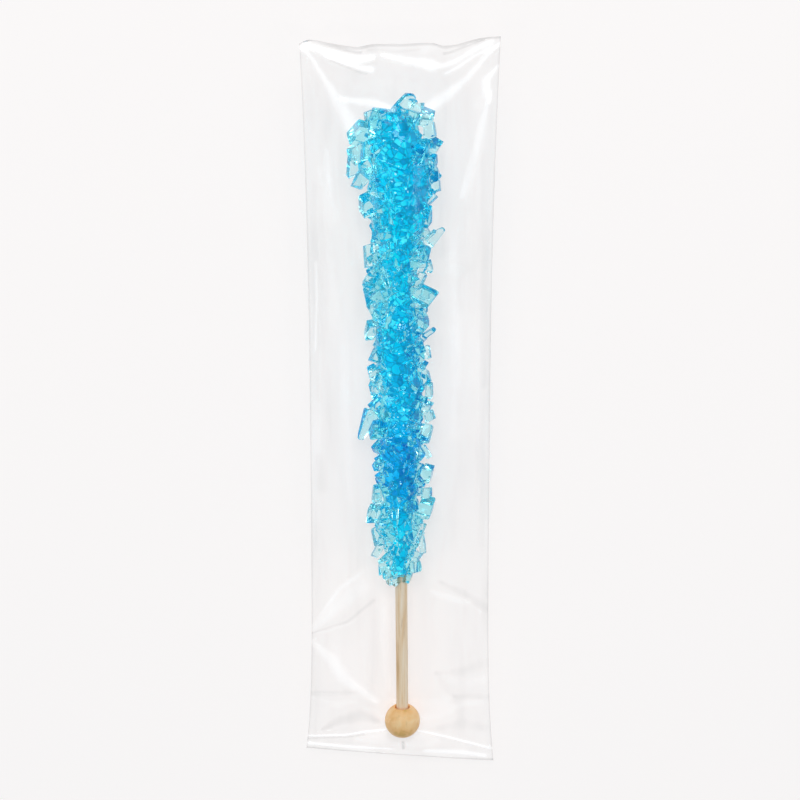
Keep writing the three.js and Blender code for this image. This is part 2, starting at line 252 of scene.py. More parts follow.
BLOCKS = [crystal_shape(0, n % 3 + 1, 0.065) for n in range(8)]
BLADES = [crystal_shape(0.35, n % 2 + 1) for n in range(4)]
PLAIN = crystal_shape(0, 0, 0.06)
LEAF = crystal_shape(0.3, 0, 0.2)
HORN = crystal_shape(0.7, 0, 0.08)
SQUARE_BLOCKS = [crystal_shape(0.12, n % 2, 0.11) for n in range(6)]
print("crystal faces:", [len(faces) for _, faces in BLOCKS + BLADES])

# %% [markdown]
# ## Where the crystals sit
# They cover the stick evenly and point every way, mostly outwards. A spiral with the golden
# angle spreads them over the candy's surface, seeded random numbers turn and size them, and
# each is pushed in until its outermost corner just meets the candy's outline, so the form
# stays the one from CAD however the blocks fall. The two sides bulge at different heights,
# so the outline has a table for each.

# %% Crystal places
GOLDEN_ANGLE = math.pi * (3 - math.sqrt(5))

# Millimetres: height above the candy's foot, reach to the left and to the right.
SIDES_OUTLINE = [
    (0, 2, 1.6), (2.3, 3.6, 2.4), (4.6, 5.2, 3.4), (7, 5.8, 4.6), (9.2, 6.3, 5.1),
    (11.5, 6.8, 6.4), (16, 7.6, 6.7), (20.6, 8.6, 7.4), (25, 8, 8), (33, 7.8, 7.3),
    (40, 8.3, 7.6), (47, 9, 8.4), (52, 8.7, 8.8), (61, 8.4, 7.8), (69.5, 8.2, 7.8),
    (72, 8.4, 9), (76, 8.4, 8), (81, 9.8, 9.2), (88, 9, 8.6), (95, 8, 9.2), (98, 7.9, 9.6),
    (102, 8.2, 9.6), (106, 9.5, 10.6), (110, 9.8, 12.1), (114, 11, 12.2), (116.6, 12.5, 11.7),
    (121, 11.1, 11.7), (125, 10.2, 9.6), (127, 8.6, 9.6), (129, 6.4, 9.4), (131, 3.4, 6.4),
]
left_reach, right_reach = curve(SIDES_OUTLINE, 1), curve(SIDES_OUTLINE, 2)
LEFT_TOP_DROP, TOP_SPAN = 1.8, (1, -2)  # the top is lower on the left
UNDER_DEPTH = 0.6
heights = np.linspace(0, CANDY_LENGTH, 400)
area = np.concatenate([[0], np.cumsum(candy_radius((heights[1:] + heights[:-1]) / 2))])


def outside_outline(points):
    """How far each point is out of the candy's outline, and less than 0 inside it."""
    height = points[:, 1] - CANDY_FOOT
    across = points[:, 0] - candy_lean(height)
    radius = np.maximum(np.hypot(across, points[:, 2] / depth_share(height)), 1e-6)
    round_reach = candy_radius(height)
    side_reach = np.where(across < 0, left_reach(height), right_reach(height))
    reach = round_reach + (side_reach - round_reach) * (across / radius) ** 2
    top = CANDY_LENGTH - LEFT_TOP_DROP * smoothstep(*TOP_SPAN, across)
    return np.maximum.reduce([radius - reach, -height, height - top])


def under_outline(points):
    """The same, for crystals that fill in under the first layer."""
    return outside_outline(points) + UNDER_DEPTH


# Millimetres: height above the candy's foot, radius of the grown-together core, and how far
# it has grown to the right of the stick.
CORE_OUTLINE = [
    (5, 2, 0), (9, 2.1, 0), (18, 2.5, -0.1), (25, 3.5, -0.2), (33, 4.2, -0.5), (44, 4.2, -0.5),
    (52, 4.2, 1), (60, 4.2, -0.5), (68, 4.4, -0.9), (76, 3.4, 0), (84, 3, 0.1), (95, 3.9, 1.2),
    (102, 5.1, 2.4), (110, 6.2, 2.2), (120, 5.5, 1), (126, 4.2, 0.9), (129, 2.8, 0.8),
]
CORE_FOOT, CORE_TOP = 4, 129
core_radius, core_side = curve(CORE_OUTLINE, 1), curve(CORE_OUTLINE, 2)


def outside_core(points):
    height = points[:, 1] - CANDY_FOOT
    across = points[:, 0] - candy_lean(height) - core_side(height)
    radius = np.hypot(across, points[:, 2])
    ends = CORE_FOOT - height, height - CORE_TOP
    return np.maximum.reduce([radius - core_radius(height), *ends])


# Millimetres: height above the candy's foot, usual length of a crystal there.
CRYSTAL_SIZE = [
    (0, 2.6), (20, 3), (26, 2.5), (40, 2.7), (48, 3.7), (70, 4.2), (84, 3.7), (98, 3.6),
    (106, 4.6), (120, 5), (CANDY_LENGTH, 4.4),
]
crystal_size = curve(CRYSTAL_SIZE)
# Shares of a crystal's length. One in five is a blade.
BLADE_CHANCE, BLADE_WIDTH, BLADE_LENGTH, BLADE_DEPTH = 0.2, (0.45, 0.7), 1.25, 0.45
BLOCK_WIDTH, BLOCK_DEPTH = (0.7, 0.95), (0.5, 0.85)
# How far a place strays along the candy (millimetres) and round it (radians).
HEIGHT_STRAY, ANGLE_STRAY = 0.5, 0.25
ROUND_END = 6
# A crystal is pushed to its outline in a few moves, and shrunk if it still sticks out.
MOVES, MOVES_BEFORE_SHRINKING, LONGEST_MOVE, MOVE_SHARE = 20, 9, 2, 0.8
STICKS_OUT, SHRINK, CLOSE_ENOUGH = 0.05, 0.92, 0.1


def scatter_crystals(count, size_share, tilt, sink, seed, outside=outside_outline,
                     span=(0, CANDY_LENGTH)):
    """Points and faces of `count` crystals that reach to within `sink` of an outline."""
    draw = random.Random(seed)
    placed = []
    start, end = np.interp(span, heights, area)
    for i in range(count):
        height = float(np.interp(start + (i + 0.5) / count * (end - start), area, heights))
        height += draw.uniform(-HEIGHT_STRAY, HEIGHT_STRAY)
        angle = i * GOLDEN_ANGLE + draw.uniform(-ANGLE_STRAY, ANGLE_STRAY)
        radius = float(candy_radius(height))
        length = size_share * float(crystal_size(height)) * (1 + draw.random() * draw.random())
        if draw.random() < BLADE_CHANCE:
            shape, faces_of = draw.choice(BLADES)
            width = length * draw.uniform(*BLADE_WIDTH)
            size = (width, length * BLADE_LENGTH, length * BLADE_DEPTH)
        else:
            shape, faces_of = draw.choice(BLOCKS)
            width = length * draw.uniform(*BLOCK_WIDTH)
            size = (length, width, length * draw.uniform(*BLOCK_DEPTH))
        outward = Vector((math.cos(angle), 0, math.sin(angle)))
        turn = Vector((1, 0, 0)).rotation_difference(outward)
        turn = turn @ Quaternion((1, 0, 0), draw.uniform(0, 2 * math.pi))
        turn = turn @ Quaternion((0, 1, 0), draw.uniform(-tilt, tilt))
        turn = turn @ Quaternion((0, 0, 1), draw.uniform(-tilt, tilt))
        block = (shape * np.array(size)) @ np.array(turn.to_matrix()).T
        share = float(depth_share(height))
        inward = np.array([-outward.x, 0, -outward.z * share])
        from_top = CANDY_LENGTH - height
        inward[1] = max(0, 1 - height / ROUND_END) - max(0, 1 - from_top / ROUND_END)
        centre = np.array([float(candy_lean(height)), CANDY_FOOT + height, 0])
        centre = centre - inward * radius
        wanted = sink * draw.random()
        for move in range(MOVES):
            excess = float(outside(block + centre).max()) + wanted
            centre = centre + inward * max(-LONGEST_MOVE, min(LONGEST_MOVE, MOVE_SHARE * excess))
            if move >= MOVES_BEFORE_SHRINKING and excess > STICKS_OUT:
                block = block * SHRINK
        if abs(excess) < CLOSE_ENOUGH:
            placed.append((block + centre, faces_of))
    return placed


# %% [markdown]
# ## The crystals that stand out
# A few big crystals give this piece of candy its own outline: the spike at the top, thin
# clear plates that stick out at the sides, and broad blocks in the shaft. Each is set one by
# one, by where it is, its size and its turn.

# %% Named crystals
# Millimetres right, above the candy's foot and towards the viewer; width and length; turn in
# radians; kind: P square block, B cut block, L blade, T thin plate.
STANDING_OUT = [
    (-5.9, 127, 3, 3.5, 3.3, 0.35, "P"), (-8.9, 123.4, 1.5, 4.8, 5, -0.44, "B"),
    (-7, 120.4, 5, 4.6, 4.4, 0.26, "P"), (-10.2, 118.6, 2, 4.4, 4.2, 0.5, "P"),
    (-11, 114.9, 0.5, 3.8, 5.6, 0.09, "T"),
    (-9.1, 112.1, 2.5, 2.9, 5.1, -0.35, "B"), (-8.0, 105.3, 2.5, 3.5, 5.8, 0.21, "P"),
    (2.9, 127.8, 2, 5.7, 4.0, -0.26, "B"), (7.6, 124.2, 1.6, 3.2, 4, 0.3, "P"),
    (5.4, 121.0, 4, 2, 5.8, 0.44, "L"), (8.2, 119.6, 0.8, 3.4, 4.4, -0.2, "B"),
    (8.1, 116.6, 3, 2.6, 3.5, 0.17, "P"), (9.0, 111.5, 2, 2.2, 5.8, 0.17, "B"),
    (7.8, 106.6, 2, 2.0, 3.0, -0.7, "P"), (6.6, 102.1, 2.5, 2.3, 6.3, 0.09, "B"),
    (7.6, 96.7, 1.5, 1.0, 4.1, -0.61, "P"), (-0.3, 109.5, 7.6, 3.2, 3.2, 0.09, "B"),
    (-2.0, 123.6, 3.5, 1.8, 8, 0.14, "L"), (1.5, 124.7, 3.5, 2, 6.4, 0.61, "L"),
    (-7.5, 91.5, 2, 2.4, 5.6, 0.17, "B"), (-7.0, 85.8, 2.5, 3.2, 3.5, -0.26, "P"),
    (-7.7, 80.6, 1.5, 2.6, 3.8, 0.35, "P"), (-4.2, 78.7, 5.5, 2.6, 3.3, -0.35, "B"),
    (-7.5, 71.2, 1, 2.6, 5.4, 0.0, "P"), (-5.1, 69.7, 4, 1.4, 4.0, 0.09, "P"),
    (-5.7, 64.5, 2, 2.7, 3.5, -0.26, "B"), (-7, 60, 2.3, 2.6, 3.6, 0.35, "P"),
    (-6.4, 55.6, 2, 2.4, 4.9, -0.03, "P"), (-5.6, 50.4, 2.5, 1.9, 3.8, 0.44, "B"),
    (5.4, 92.4, 3.5, 3.4, 4.1, -0.14, "P"), (7.4, 88.3, 1, 1.4, 3.5, 0.26, "P"),
    (4.9, 85.4, 4.5, 2.0, 4.5, -0.35, "B"), (5.8, 80.8, 2.5, 6.2, 4.4, -0.09, "P"),
    (5.3, 74.5, 2.5, 3.1, 6.0, 0.14, "B"), (7.3, 70.4, 1.5, 1.3, 4.4, -0.61, "P"),
    (6.8, 64.8, 0.5, 1.2, 3.3, 0.26, "B"), (5.7, 61.8, 3, 1.6, 3.2, -0.35, "P"),
    (6.3, 58.5, 2, 2.1, 2.9, 0.44, "B"), (7.2, 54.8, 2, 1.7, 4.8, 0.09, "P"),
    (3.3, 52.7, 6, 3.4, 2.1, -0.52, "L"), (6.3, 50.2, 2, 2.7, 2.6, -0.17, "B"),
    (7.2, 47.5, 1.5, 2.5, 2.6, 0.52, "P"), (2.9, 47.0, 6.5, 2.5, 2.4, 0.09, "P"),
    (-5.5, 44.6, 3, 4.4, 3.8, 0.03, "P"), (6.2, 43.1, 2.5, 3.0, 4.8, -0.14, "P"),
    (6.5, 31.4, 1.2, 3, 4.4, -0.07, "P"), (-6.2, 25.9, 2, 2.4, 5.2, 0.07, "P"),
    (-5.8, 34.2, 2, 1.8, 2.9, -0.35, "B"), (-5.4, 38.9, 2.5, 1.5, 3.2, 0.52, "B"),
    (6.5, 37.9, 2, 1.3, 3.7, 0.52, "B"), (6.1, 22.3, 2.5, 4.1, 5.2, -0.05, "P"),
    (-7.3, 20.2, 1, 2.6, 4.9, -0.2, "P"), (-0.3, 13.9, 3.5, 1.8, 9, 0.03, "P"),
    (2.1, 18.7, 4.2, 1.4, 6.2, -0.21, "L"), (4.8, 15.4, 3.5, 1.1, 5.9, -0.38, "P"),
    (5.2, 11.6, 2, 1.5, 5, 0.21, "B"), (-0.9, 7.2, 4.6, 3.4, 4.0, -0.1, "P"),
    (3.3, 6.6, 3.8, 2.9, 4.1, 0.09, "B"), (-6.2, 14.2, 2, 2.6, 4.6, 0.4, "P"),
    (-6.1, 9.8, 1.5, 1.9, 3.7, -0.35, "B"), (-4.7, 5.5, 1.5, 2.0, 3.7, 0.44, "P"),
    (-2.3, 2.9, 2.6, 1.8, 5.1, -0.17, "B"), (1.8, 3, 2.2, 2.1, 4.6, -0.14, "P"),
    (-4.6, 6.4, 2, 2.8, 2.8, 0.5, "B"), (-3.6, 4, 2.4, 2.6, 2.8, -0.3, "B"),
    (-2.6, 2, 1.8, 2.5, 2.8, 0.4, "B"), (-1.4, 4.8, 3.2, 2.8, 2.6, 0.2, "B"),
    (1, 5.4, 3.4, 3, 2.8, -0.3, "B"), (2.4, 4.8, 1.6, 2.6, 3, 0.3, "B"),
    (-4.2, 3.6, -0.5, 2.6, 2.8, 0.2, "B"), (-1.5, 1, 1.4, 2, 1.8, 0.6, "B"),
    (1.5, 1.7, -0.8, 2.4, 2.4, 0.3, "B"), (3.3, 8.6, 2.6, 2.8, 2.8, -0.4, "B"),
    (-6.4, 128, 1, 3.6, 3.2, 0.4, "B"), (6.4, 127.6, 1, 3.4, 3.4, -0.3, "B"),
    (4.4, 129.5, 0.5, 3, 2.6, 0.2, "B"), (6.4, 26.2, 2, 2.4, 2.8, 0.1, "P"),
]
KINDS = {"P": SQUARE_BLOCKS, "B": BLOCKS, "L": BLADES, "T": [PLAIN]}
# Each kind's depth, as a share of the smaller of its width and length.
KIND_DEPTH = {"P": 0.95, "B": 0.95, "L": 0.8, "T": 0.4}
# At (right, above the foot, towards the viewer), size, turn in radians, shape.
BIG_CRYSTALS = [
    ((1.5, 130.5, 0.5), (5, 7.4, 2.8), (0.25, 0.4, -0.5), LEAF),
    ((2.9, 129.8, 1), (2.6, 5.6, 2.4), (0.1, -0.4, -0.3), SQUARE_BLOCKS[0]),
    ((9.5, 96.3, 0.5), (3.6, 6.4, 2.4), (0.15, -0.35, -0.62), HORN),
    ((-8.7, 44.9, 0.6), (4.8, 8.8, 3), (0.1, 0.45, 2.8), HORN),
    ((-7.4, 47.4, 0.8), (3.4, 3.2, 2.6), (0.4, 0.3, 0.5), SQUARE_BLOCKS[1]),
    ((0.2, 3.4, -2.4), (4, 4.2, 3), (0.4, 0.1, 0.2), BLOCKS[3]),
]


def place_crystal(place, size, turn, shape):
    points, faces = shape
    rotate = (
        Matrix.Rotation(turn[0], 3, "X")
        @ Matrix.Rotation(turn[1], 3, "Y")
        @ Matrix.Rotation(turn[2], 3, "Z")
    )
    offset = np.array(place) + (0, CANDY_FOOT, 0)
    return (points * np.array(size)) @ np.array(rotate).T + offset, faces


# %% [markdown]
# ## Growing the crystals together
# Grown sugar is one body, with no walls between the crystals. Left as overlapping blocks,
# clear sugar would show every hidden face inside it, so the blocks are joined by a boolean.
# Its manifold solver takes a whole collection at once, in a fraction of a second.

# %% Join
CREASE_ANGLE = math.radians(48)
BIG_FACE_WEIGHT = 90  # how far the biggest faces decide the shading at a rounded edge


def keep_largest_part(mesh):
    """Drop what hangs free of the main body, such as a crystal that meets no other."""
    body = bmesh.new()
    body.from_mesh(mesh)
    unseen, parts = set(body.verts), []
    while unseen:
        part = [unseen.pop()]
        for vert in part:  # the list grows as it is walked
            near = {edge.other_vert(vert) for edge in vert.link_edges} & unseen
            unseen -= near
            part += near
        parts.append(part)
    parts.sort(key=len)
    loose = [vert for part in parts[:-1] for vert in part]
    bmesh.ops.delete(body, geom=loose, context="VERTS")
    body.to_mesh(mesh)
    body.free()
    print(mesh.name, "drops", len(parts) - 1, "loose parts with", len(loose), "corners")


def grown_together(name, placed):
    """One closed piece from overlapping closed bodies, given as (points, faces)."""
    bodies = [
        make_piece(f"{name}_{i}", to_row_frame(points), faces)
        for i, (points, faces) in enumerate(placed)
    ]
    others = bpy.data.collections.new(name)
    for body in bodies[1:]:
        others.objects.link(body)
    join = bodies[0].modifiers.new("join", "BOOLEAN")
    join.operation = "UNION"
    join.operand_type = "COLLECTION"
    join.collection = others
    join.solver = "MANIFOLD"
    evaluated = bodies[0].evaluated_get(bpy.context.evaluated_depsgraph_get())
    mesh = bpy.data.meshes.new_from_object(evaluated)
    for body in bodies:
        bpy.data.meshes.remove(body.data)
    bpy.data.collections.remove(others)
    mesh.name = name
    keep_largest_part(mesh)
    mesh.materials.clear()
    mesh.shade_smooth()
    mesh.set_sharp_from_angle(angle=CREASE_ANGLE)
    piece = bpy.data.objects.new(name, mesh)
    bpy.context.scene.collection.objects.link(piece)
    flatten = piece.modifiers.new("flat faces", "WEIGHTED_NORMAL")
    flatten.keep_sharp = True
    flatten.weight = BIG_FACE_WEIGHT
    evaluated = piece.evaluated_get(bpy.context.evaluated_depsgraph_get())
    piece.data = bpy.data.meshes.new_from_object(evaluated)
    piece.modifiers.clear()
    bpy.data.meshes.remove(mesh)
    mesh = piece.data
    check = bmesh.new()
    check.from_mesh(mesh)
    open_edges = sum(not edge.is_manifold for edge in check.edges)
    print(name, "has", triangle_count(piece), "triangles and", open_edges, "open edges")
    check.free()
    return piece


# %% [markdown]
# ## The outer crystals
# Scattered crystals cover the whole candy, apart from where one that stands out should be
# seen, and a closer layer fills its narrow foot. At the left of the head the sugar is loose
# and clear, with no second layer under the first. The crystals at the sides lean outwards,
# because a long wall seen at a slant is what gives sugar its dark teal outlines.

# %% Outer crystals
# How much thicker a crystal that stands out is than its share, how far the ones on the right
# are moved out, and how far each is tipped over its length and outwards (radians).
EXTRA_DEPTH = 0.4
RIGHT_SHIFT, SHIFT_SPAN = 0.4, (0, 5)
TIP_OVER, TIP_OUT = (0.15, 0.6), (0.15, 0.55)
# No scattered crystal is left further left than this, between these heights and below this
# depth, all in millimetres.
LOOSE_LEFT, LOOSE_HEIGHTS, LOOSE_DEPTH = -5, (104, 127), 4
tilt_draw = random.Random(3)


def is_clear(points):
    """Whether a scattered crystal leaves the ones that stand out in view."""
    x, height, z = points.mean(axis=0) - (0, CANDY_FOOT, 0)
    if x < LOOSE_LEFT and LOOSE_HEIGHTS[0] < height < LOOSE_HEIGHTS[1] and z < LOOSE_DEPTH:
        return False
    return not any(
        abs(x - row[0]) < 0.5 * row[3] and abs(height - row[1]) < 0.5 * row[4]
        for row in STANDING_OUT
    )


outer_placed = scatter_crystals(360, size_share=1.0, tilt=0.9, sink=1.3, seed=7)
outer_placed = [crystal for crystal in outer_placed if is_clear(crystal[0])]
outer_placed += scatter_crystals(
    110, size_share=0.85, tilt=0.9, sink=1.6, seed=41, outside=under_outline, span=(0, 20)
)
print("scattered crystals left:", len(outer_placed))
outer_placed += [place_crystal(*big) for big in BIG_CRYSTALS]
for i, (x, height, z, wide, long, turn, kind) in enumerate(STANDING_OUT):
    deep = KIND_DEPTH[kind] * min(wide, long) + EXTRA_DEPTH
    tilts = [tilt_draw.choice((-1, 1)) * tilt_draw.uniform(*TIP_OVER)]
    tilts.append(-math.copysign(tilt_draw.uniform(*TIP_OUT), x))
    x += RIGHT_SHIFT * float(smoothstep(*SHIFT_SPAN, x))
    shape = KINDS[kind][i % len(KINDS[kind])]
    outer_placed.append(place_crystal((x, height, z), (wide, long, deep), (*tilts, turn), shape))

# %% [markdown]
# ## The candy's core
# Under the outer crystals the sugar is grown together into one mass. It is too deep to be
# seen as separate blocks, so it is a round, dented body with small crystals on it, and its
# colour is what gives the clear crystals over it their blue. It leans from side to side, and
# is thick enough all along to hide the stick that runs through it. The same body, made a
# little bigger, is also what holds the outer crystals together.

# %% Core
CORE_DEPTH, JOINING_DEPTH = 1.2, -1
CORE_DENT, JOINING_DENT, RING_STRAY = 0.3, 0.4, 0.4
BODY_FOOT, BODY_TOP = 3, 127
THINNEST = 1.8
core_draw = random.Random(5)
RINGS, SIDES = 84, 26


def core_body(depth, dent):
    """Points and faces of a dented body whose sides lie `depth` under the core's outline."""
    points = []
    for ring in range(RINGS + 1):
        height = BODY_FOOT + (BODY_TOP - BODY_FOOT) * ring / RINGS
        for side in range(SIDES):
            angle = 2 * math.pi * (side + 0.5 * (ring % 2)) / SIDES
            radius = float(core_radius(height)) - depth + core_draw.uniform(-dent, dent)
            radius = max(radius, THINNEST - min(depth, 0))
            points.append((
                float(candy_lean(height) + core_side(height)) + radius * math.cos(angle),
                CANDY_FOOT + height + core_draw.uniform(-RING_STRAY, RING_STRAY),
                radius * math.sin(angle),
            ))
    faces = []
    for ring in range(RINGS):
        for side in range(SIDES):
            a, b = ring * SIDES + side, ring * SIDES + (side + 1) % SIDES
            c, d = a + SIDES, b + SIDES
            if ring % 2:
                faces += [(a, c, d), (a, d, b)]
            else:
                faces += [(a, c, b), (b, c, d)]
    faces.append(list(range(SIDES)))
    faces.append([RINGS * SIDES + side for side in reversed(range(SIDES))])
    return points, faces


joining_body = core_body(JOINING_DEPTH, JOINING_DENT)
crystals = grown_together("sugar_crystals", [joining_body] + outer_placed)
inner_placed = scatter_crystals(
    440, size_share=0.62, tilt=0.9, sink=0.9, seed=23, outside=outside_core
)
core = grown_together("candy_core", [core_body(CORE_DEPTH, CORE_DENT)] + inner_placed)

# %% [markdown]
# ## The film bag
# The bag is a sleeve of thin clear film, sealed flat at both ends. It is drawn tight over
# the candy and the ball, so from each side edge it runs straight to where it touches them.
# Cloth simulation would crumple it in places of its own choosing, so its height is worked out
# from the shape of a stretched sheet instead, on a fine grid that is one smooth closed skin.

# %% Film shape
BAG_LENGTH = 198.2
BAG_MIDDLE = 0.75
BAG_SEAL_WIDTH = 51
# How far the sides are drawn in, and how suddenly, towards the head and towards the ball.
BAG_PULL_IN, PULL_AT_HEAD, PULL_AT_BALL = 1.85, 2.2, 6
# The slant of each end across the bag's half width, and how near the end it starts.
SLANT_AT_HEAD, SLANT_AT_BALL, SLANT_POWER = 0.4, -1.9, 6
DIP_SPAN = (84, 99.8)
# The height of the side edges at the ball's end, and how much higher they are at the head's.
EDGE_LOW, EDGE_RISE = 3, 4
# Between these shares of its half length the bag goes flat towards a seal.
FLAT_SPAN = (0.87, 0.98)
FILM_CLEARANCE = 1.1
HALF = BAG_LENGTH / 2
# Millimetres: place along the model, half width and height of what the film goes round.
FILM_OUTLINE = [
    (-98.5, 25, 3.4), (-93.5, 9.5, 8.6), (-87.3, 6.6, 11.9), (-79, 5.2, 10.8),
    (-65, 4.8, 10.4), (-54, 5.6, 11.6), (-41, 8.6, 15.4), (-24, 9.5, 17.4), (1, 11, 19.4),
    (31, 11.8, 21.4), (57, 13, 23.2), (69.5, 13.6, 23.8), (78, 12.8, 23.4), (86, 13.2, 20.6),
    (92, 18.5, 14), (100, 25, 7.4),
]
film_wide, film_tall = curve(FILM_OUTLINE, 1), curve(FILM_OUTLINE, 2)


def up_bag(y):
    return (y - BAG_MIDDLE) / HALF


def bag_half_width(y):
    power = np.where(y > 0, PULL_AT_HEAD, PULL_AT_BALL)
    return BAG_SEAL_WIDTH / 2 - BAG_PULL_IN * (1 - np.abs(up_bag(y)) ** power)


# Millimetres across the bag, and how far the top edge dips there.
top_dip = curve([
    (-25.5, 1.1), (-23, 0.1), (-18, 1), (-10.5, 2.2), (-7, 1.5), (0, 1.6), (8, 1.4),
    (12, 2.3), (20, 0.4), (25.5, 0),
])


def slanted(x, y):
    slant = np.where(y > 0, SLANT_AT_HEAD, SLANT_AT_BALL)
    dip = top_dip(x) * smoothstep(*DIP_SPAN, y)
    return y - dip + slant * x / (BAG_SEAL_WIDTH / 2) * up_bag(y) ** SLANT_POWER


def edge_height(y):
    return EDGE_LOW + EDGE_RISE * (1 + up_bag(y)) * 0.5


def tight_film(x, y):
    """The film's height: straight from the side edge to a round form, and then round it."""
    along = (y - BEAD_CENTRE.y) / (HEAD_CENTRE.y - BEAD_CENTRE.y)
    middle_x = BEAD_CENTRE.x + (HEAD_CENTRE.x - BEAD_CENTRE.x) * along
    middle_z = BEAD_CENTRE.z + (HEAD_CENTRE.z - BEAD_CENTRE.z) * along
    height = y - BEAD_CENTRE.y - CANDY_FOOT
    flat = smoothstep(*FLAT_SPAN, np.abs(up_bag(y)))
    edge = edge_height(y)
    base = middle_z + (edge - middle_z) * flat
    wide, tall = film_wide(y), film_tall(y) - base
    on_candy = (height >= 0) & (height <= CANDY_LENGTH)
    radius = candy_radius(height)
    candy_tall = radius * depth_share(height)
    wide = np.where(on_candy, np.maximum(wide, radius + FILM_CLEARANCE), wide)
    tall = np.where(on_candy, np.maximum(tall, candy_tall + FILM_CLEARANCE), tall)
    tall = np.maximum(tall, 0.01)
    shift = (middle_x + candy_lean(height)) * (1 - flat)
    off = x - shift
    out_x = np.maximum((bag_half_width(y) - np.sign(off) * shift) / wide, 1.001)
    out_z = (edge - base) / tall
    touch = np.arctan2(out_z, out_x) + np.arccos(1 / np.hypot(out_x, out_z))
    touch_x, touch_z = np.cos(touch), np.sin(touch)
    u = np.abs(off) / wide
    share = np.clip((u - touch_x) / (out_x - touch_x), 0, 1)
    over = np.sqrt(np.clip(1 - u * u, 0, 1))
    return base + tall * np.where(u <= touch_x, over, touch_z + (out_z - touch_z) * share)
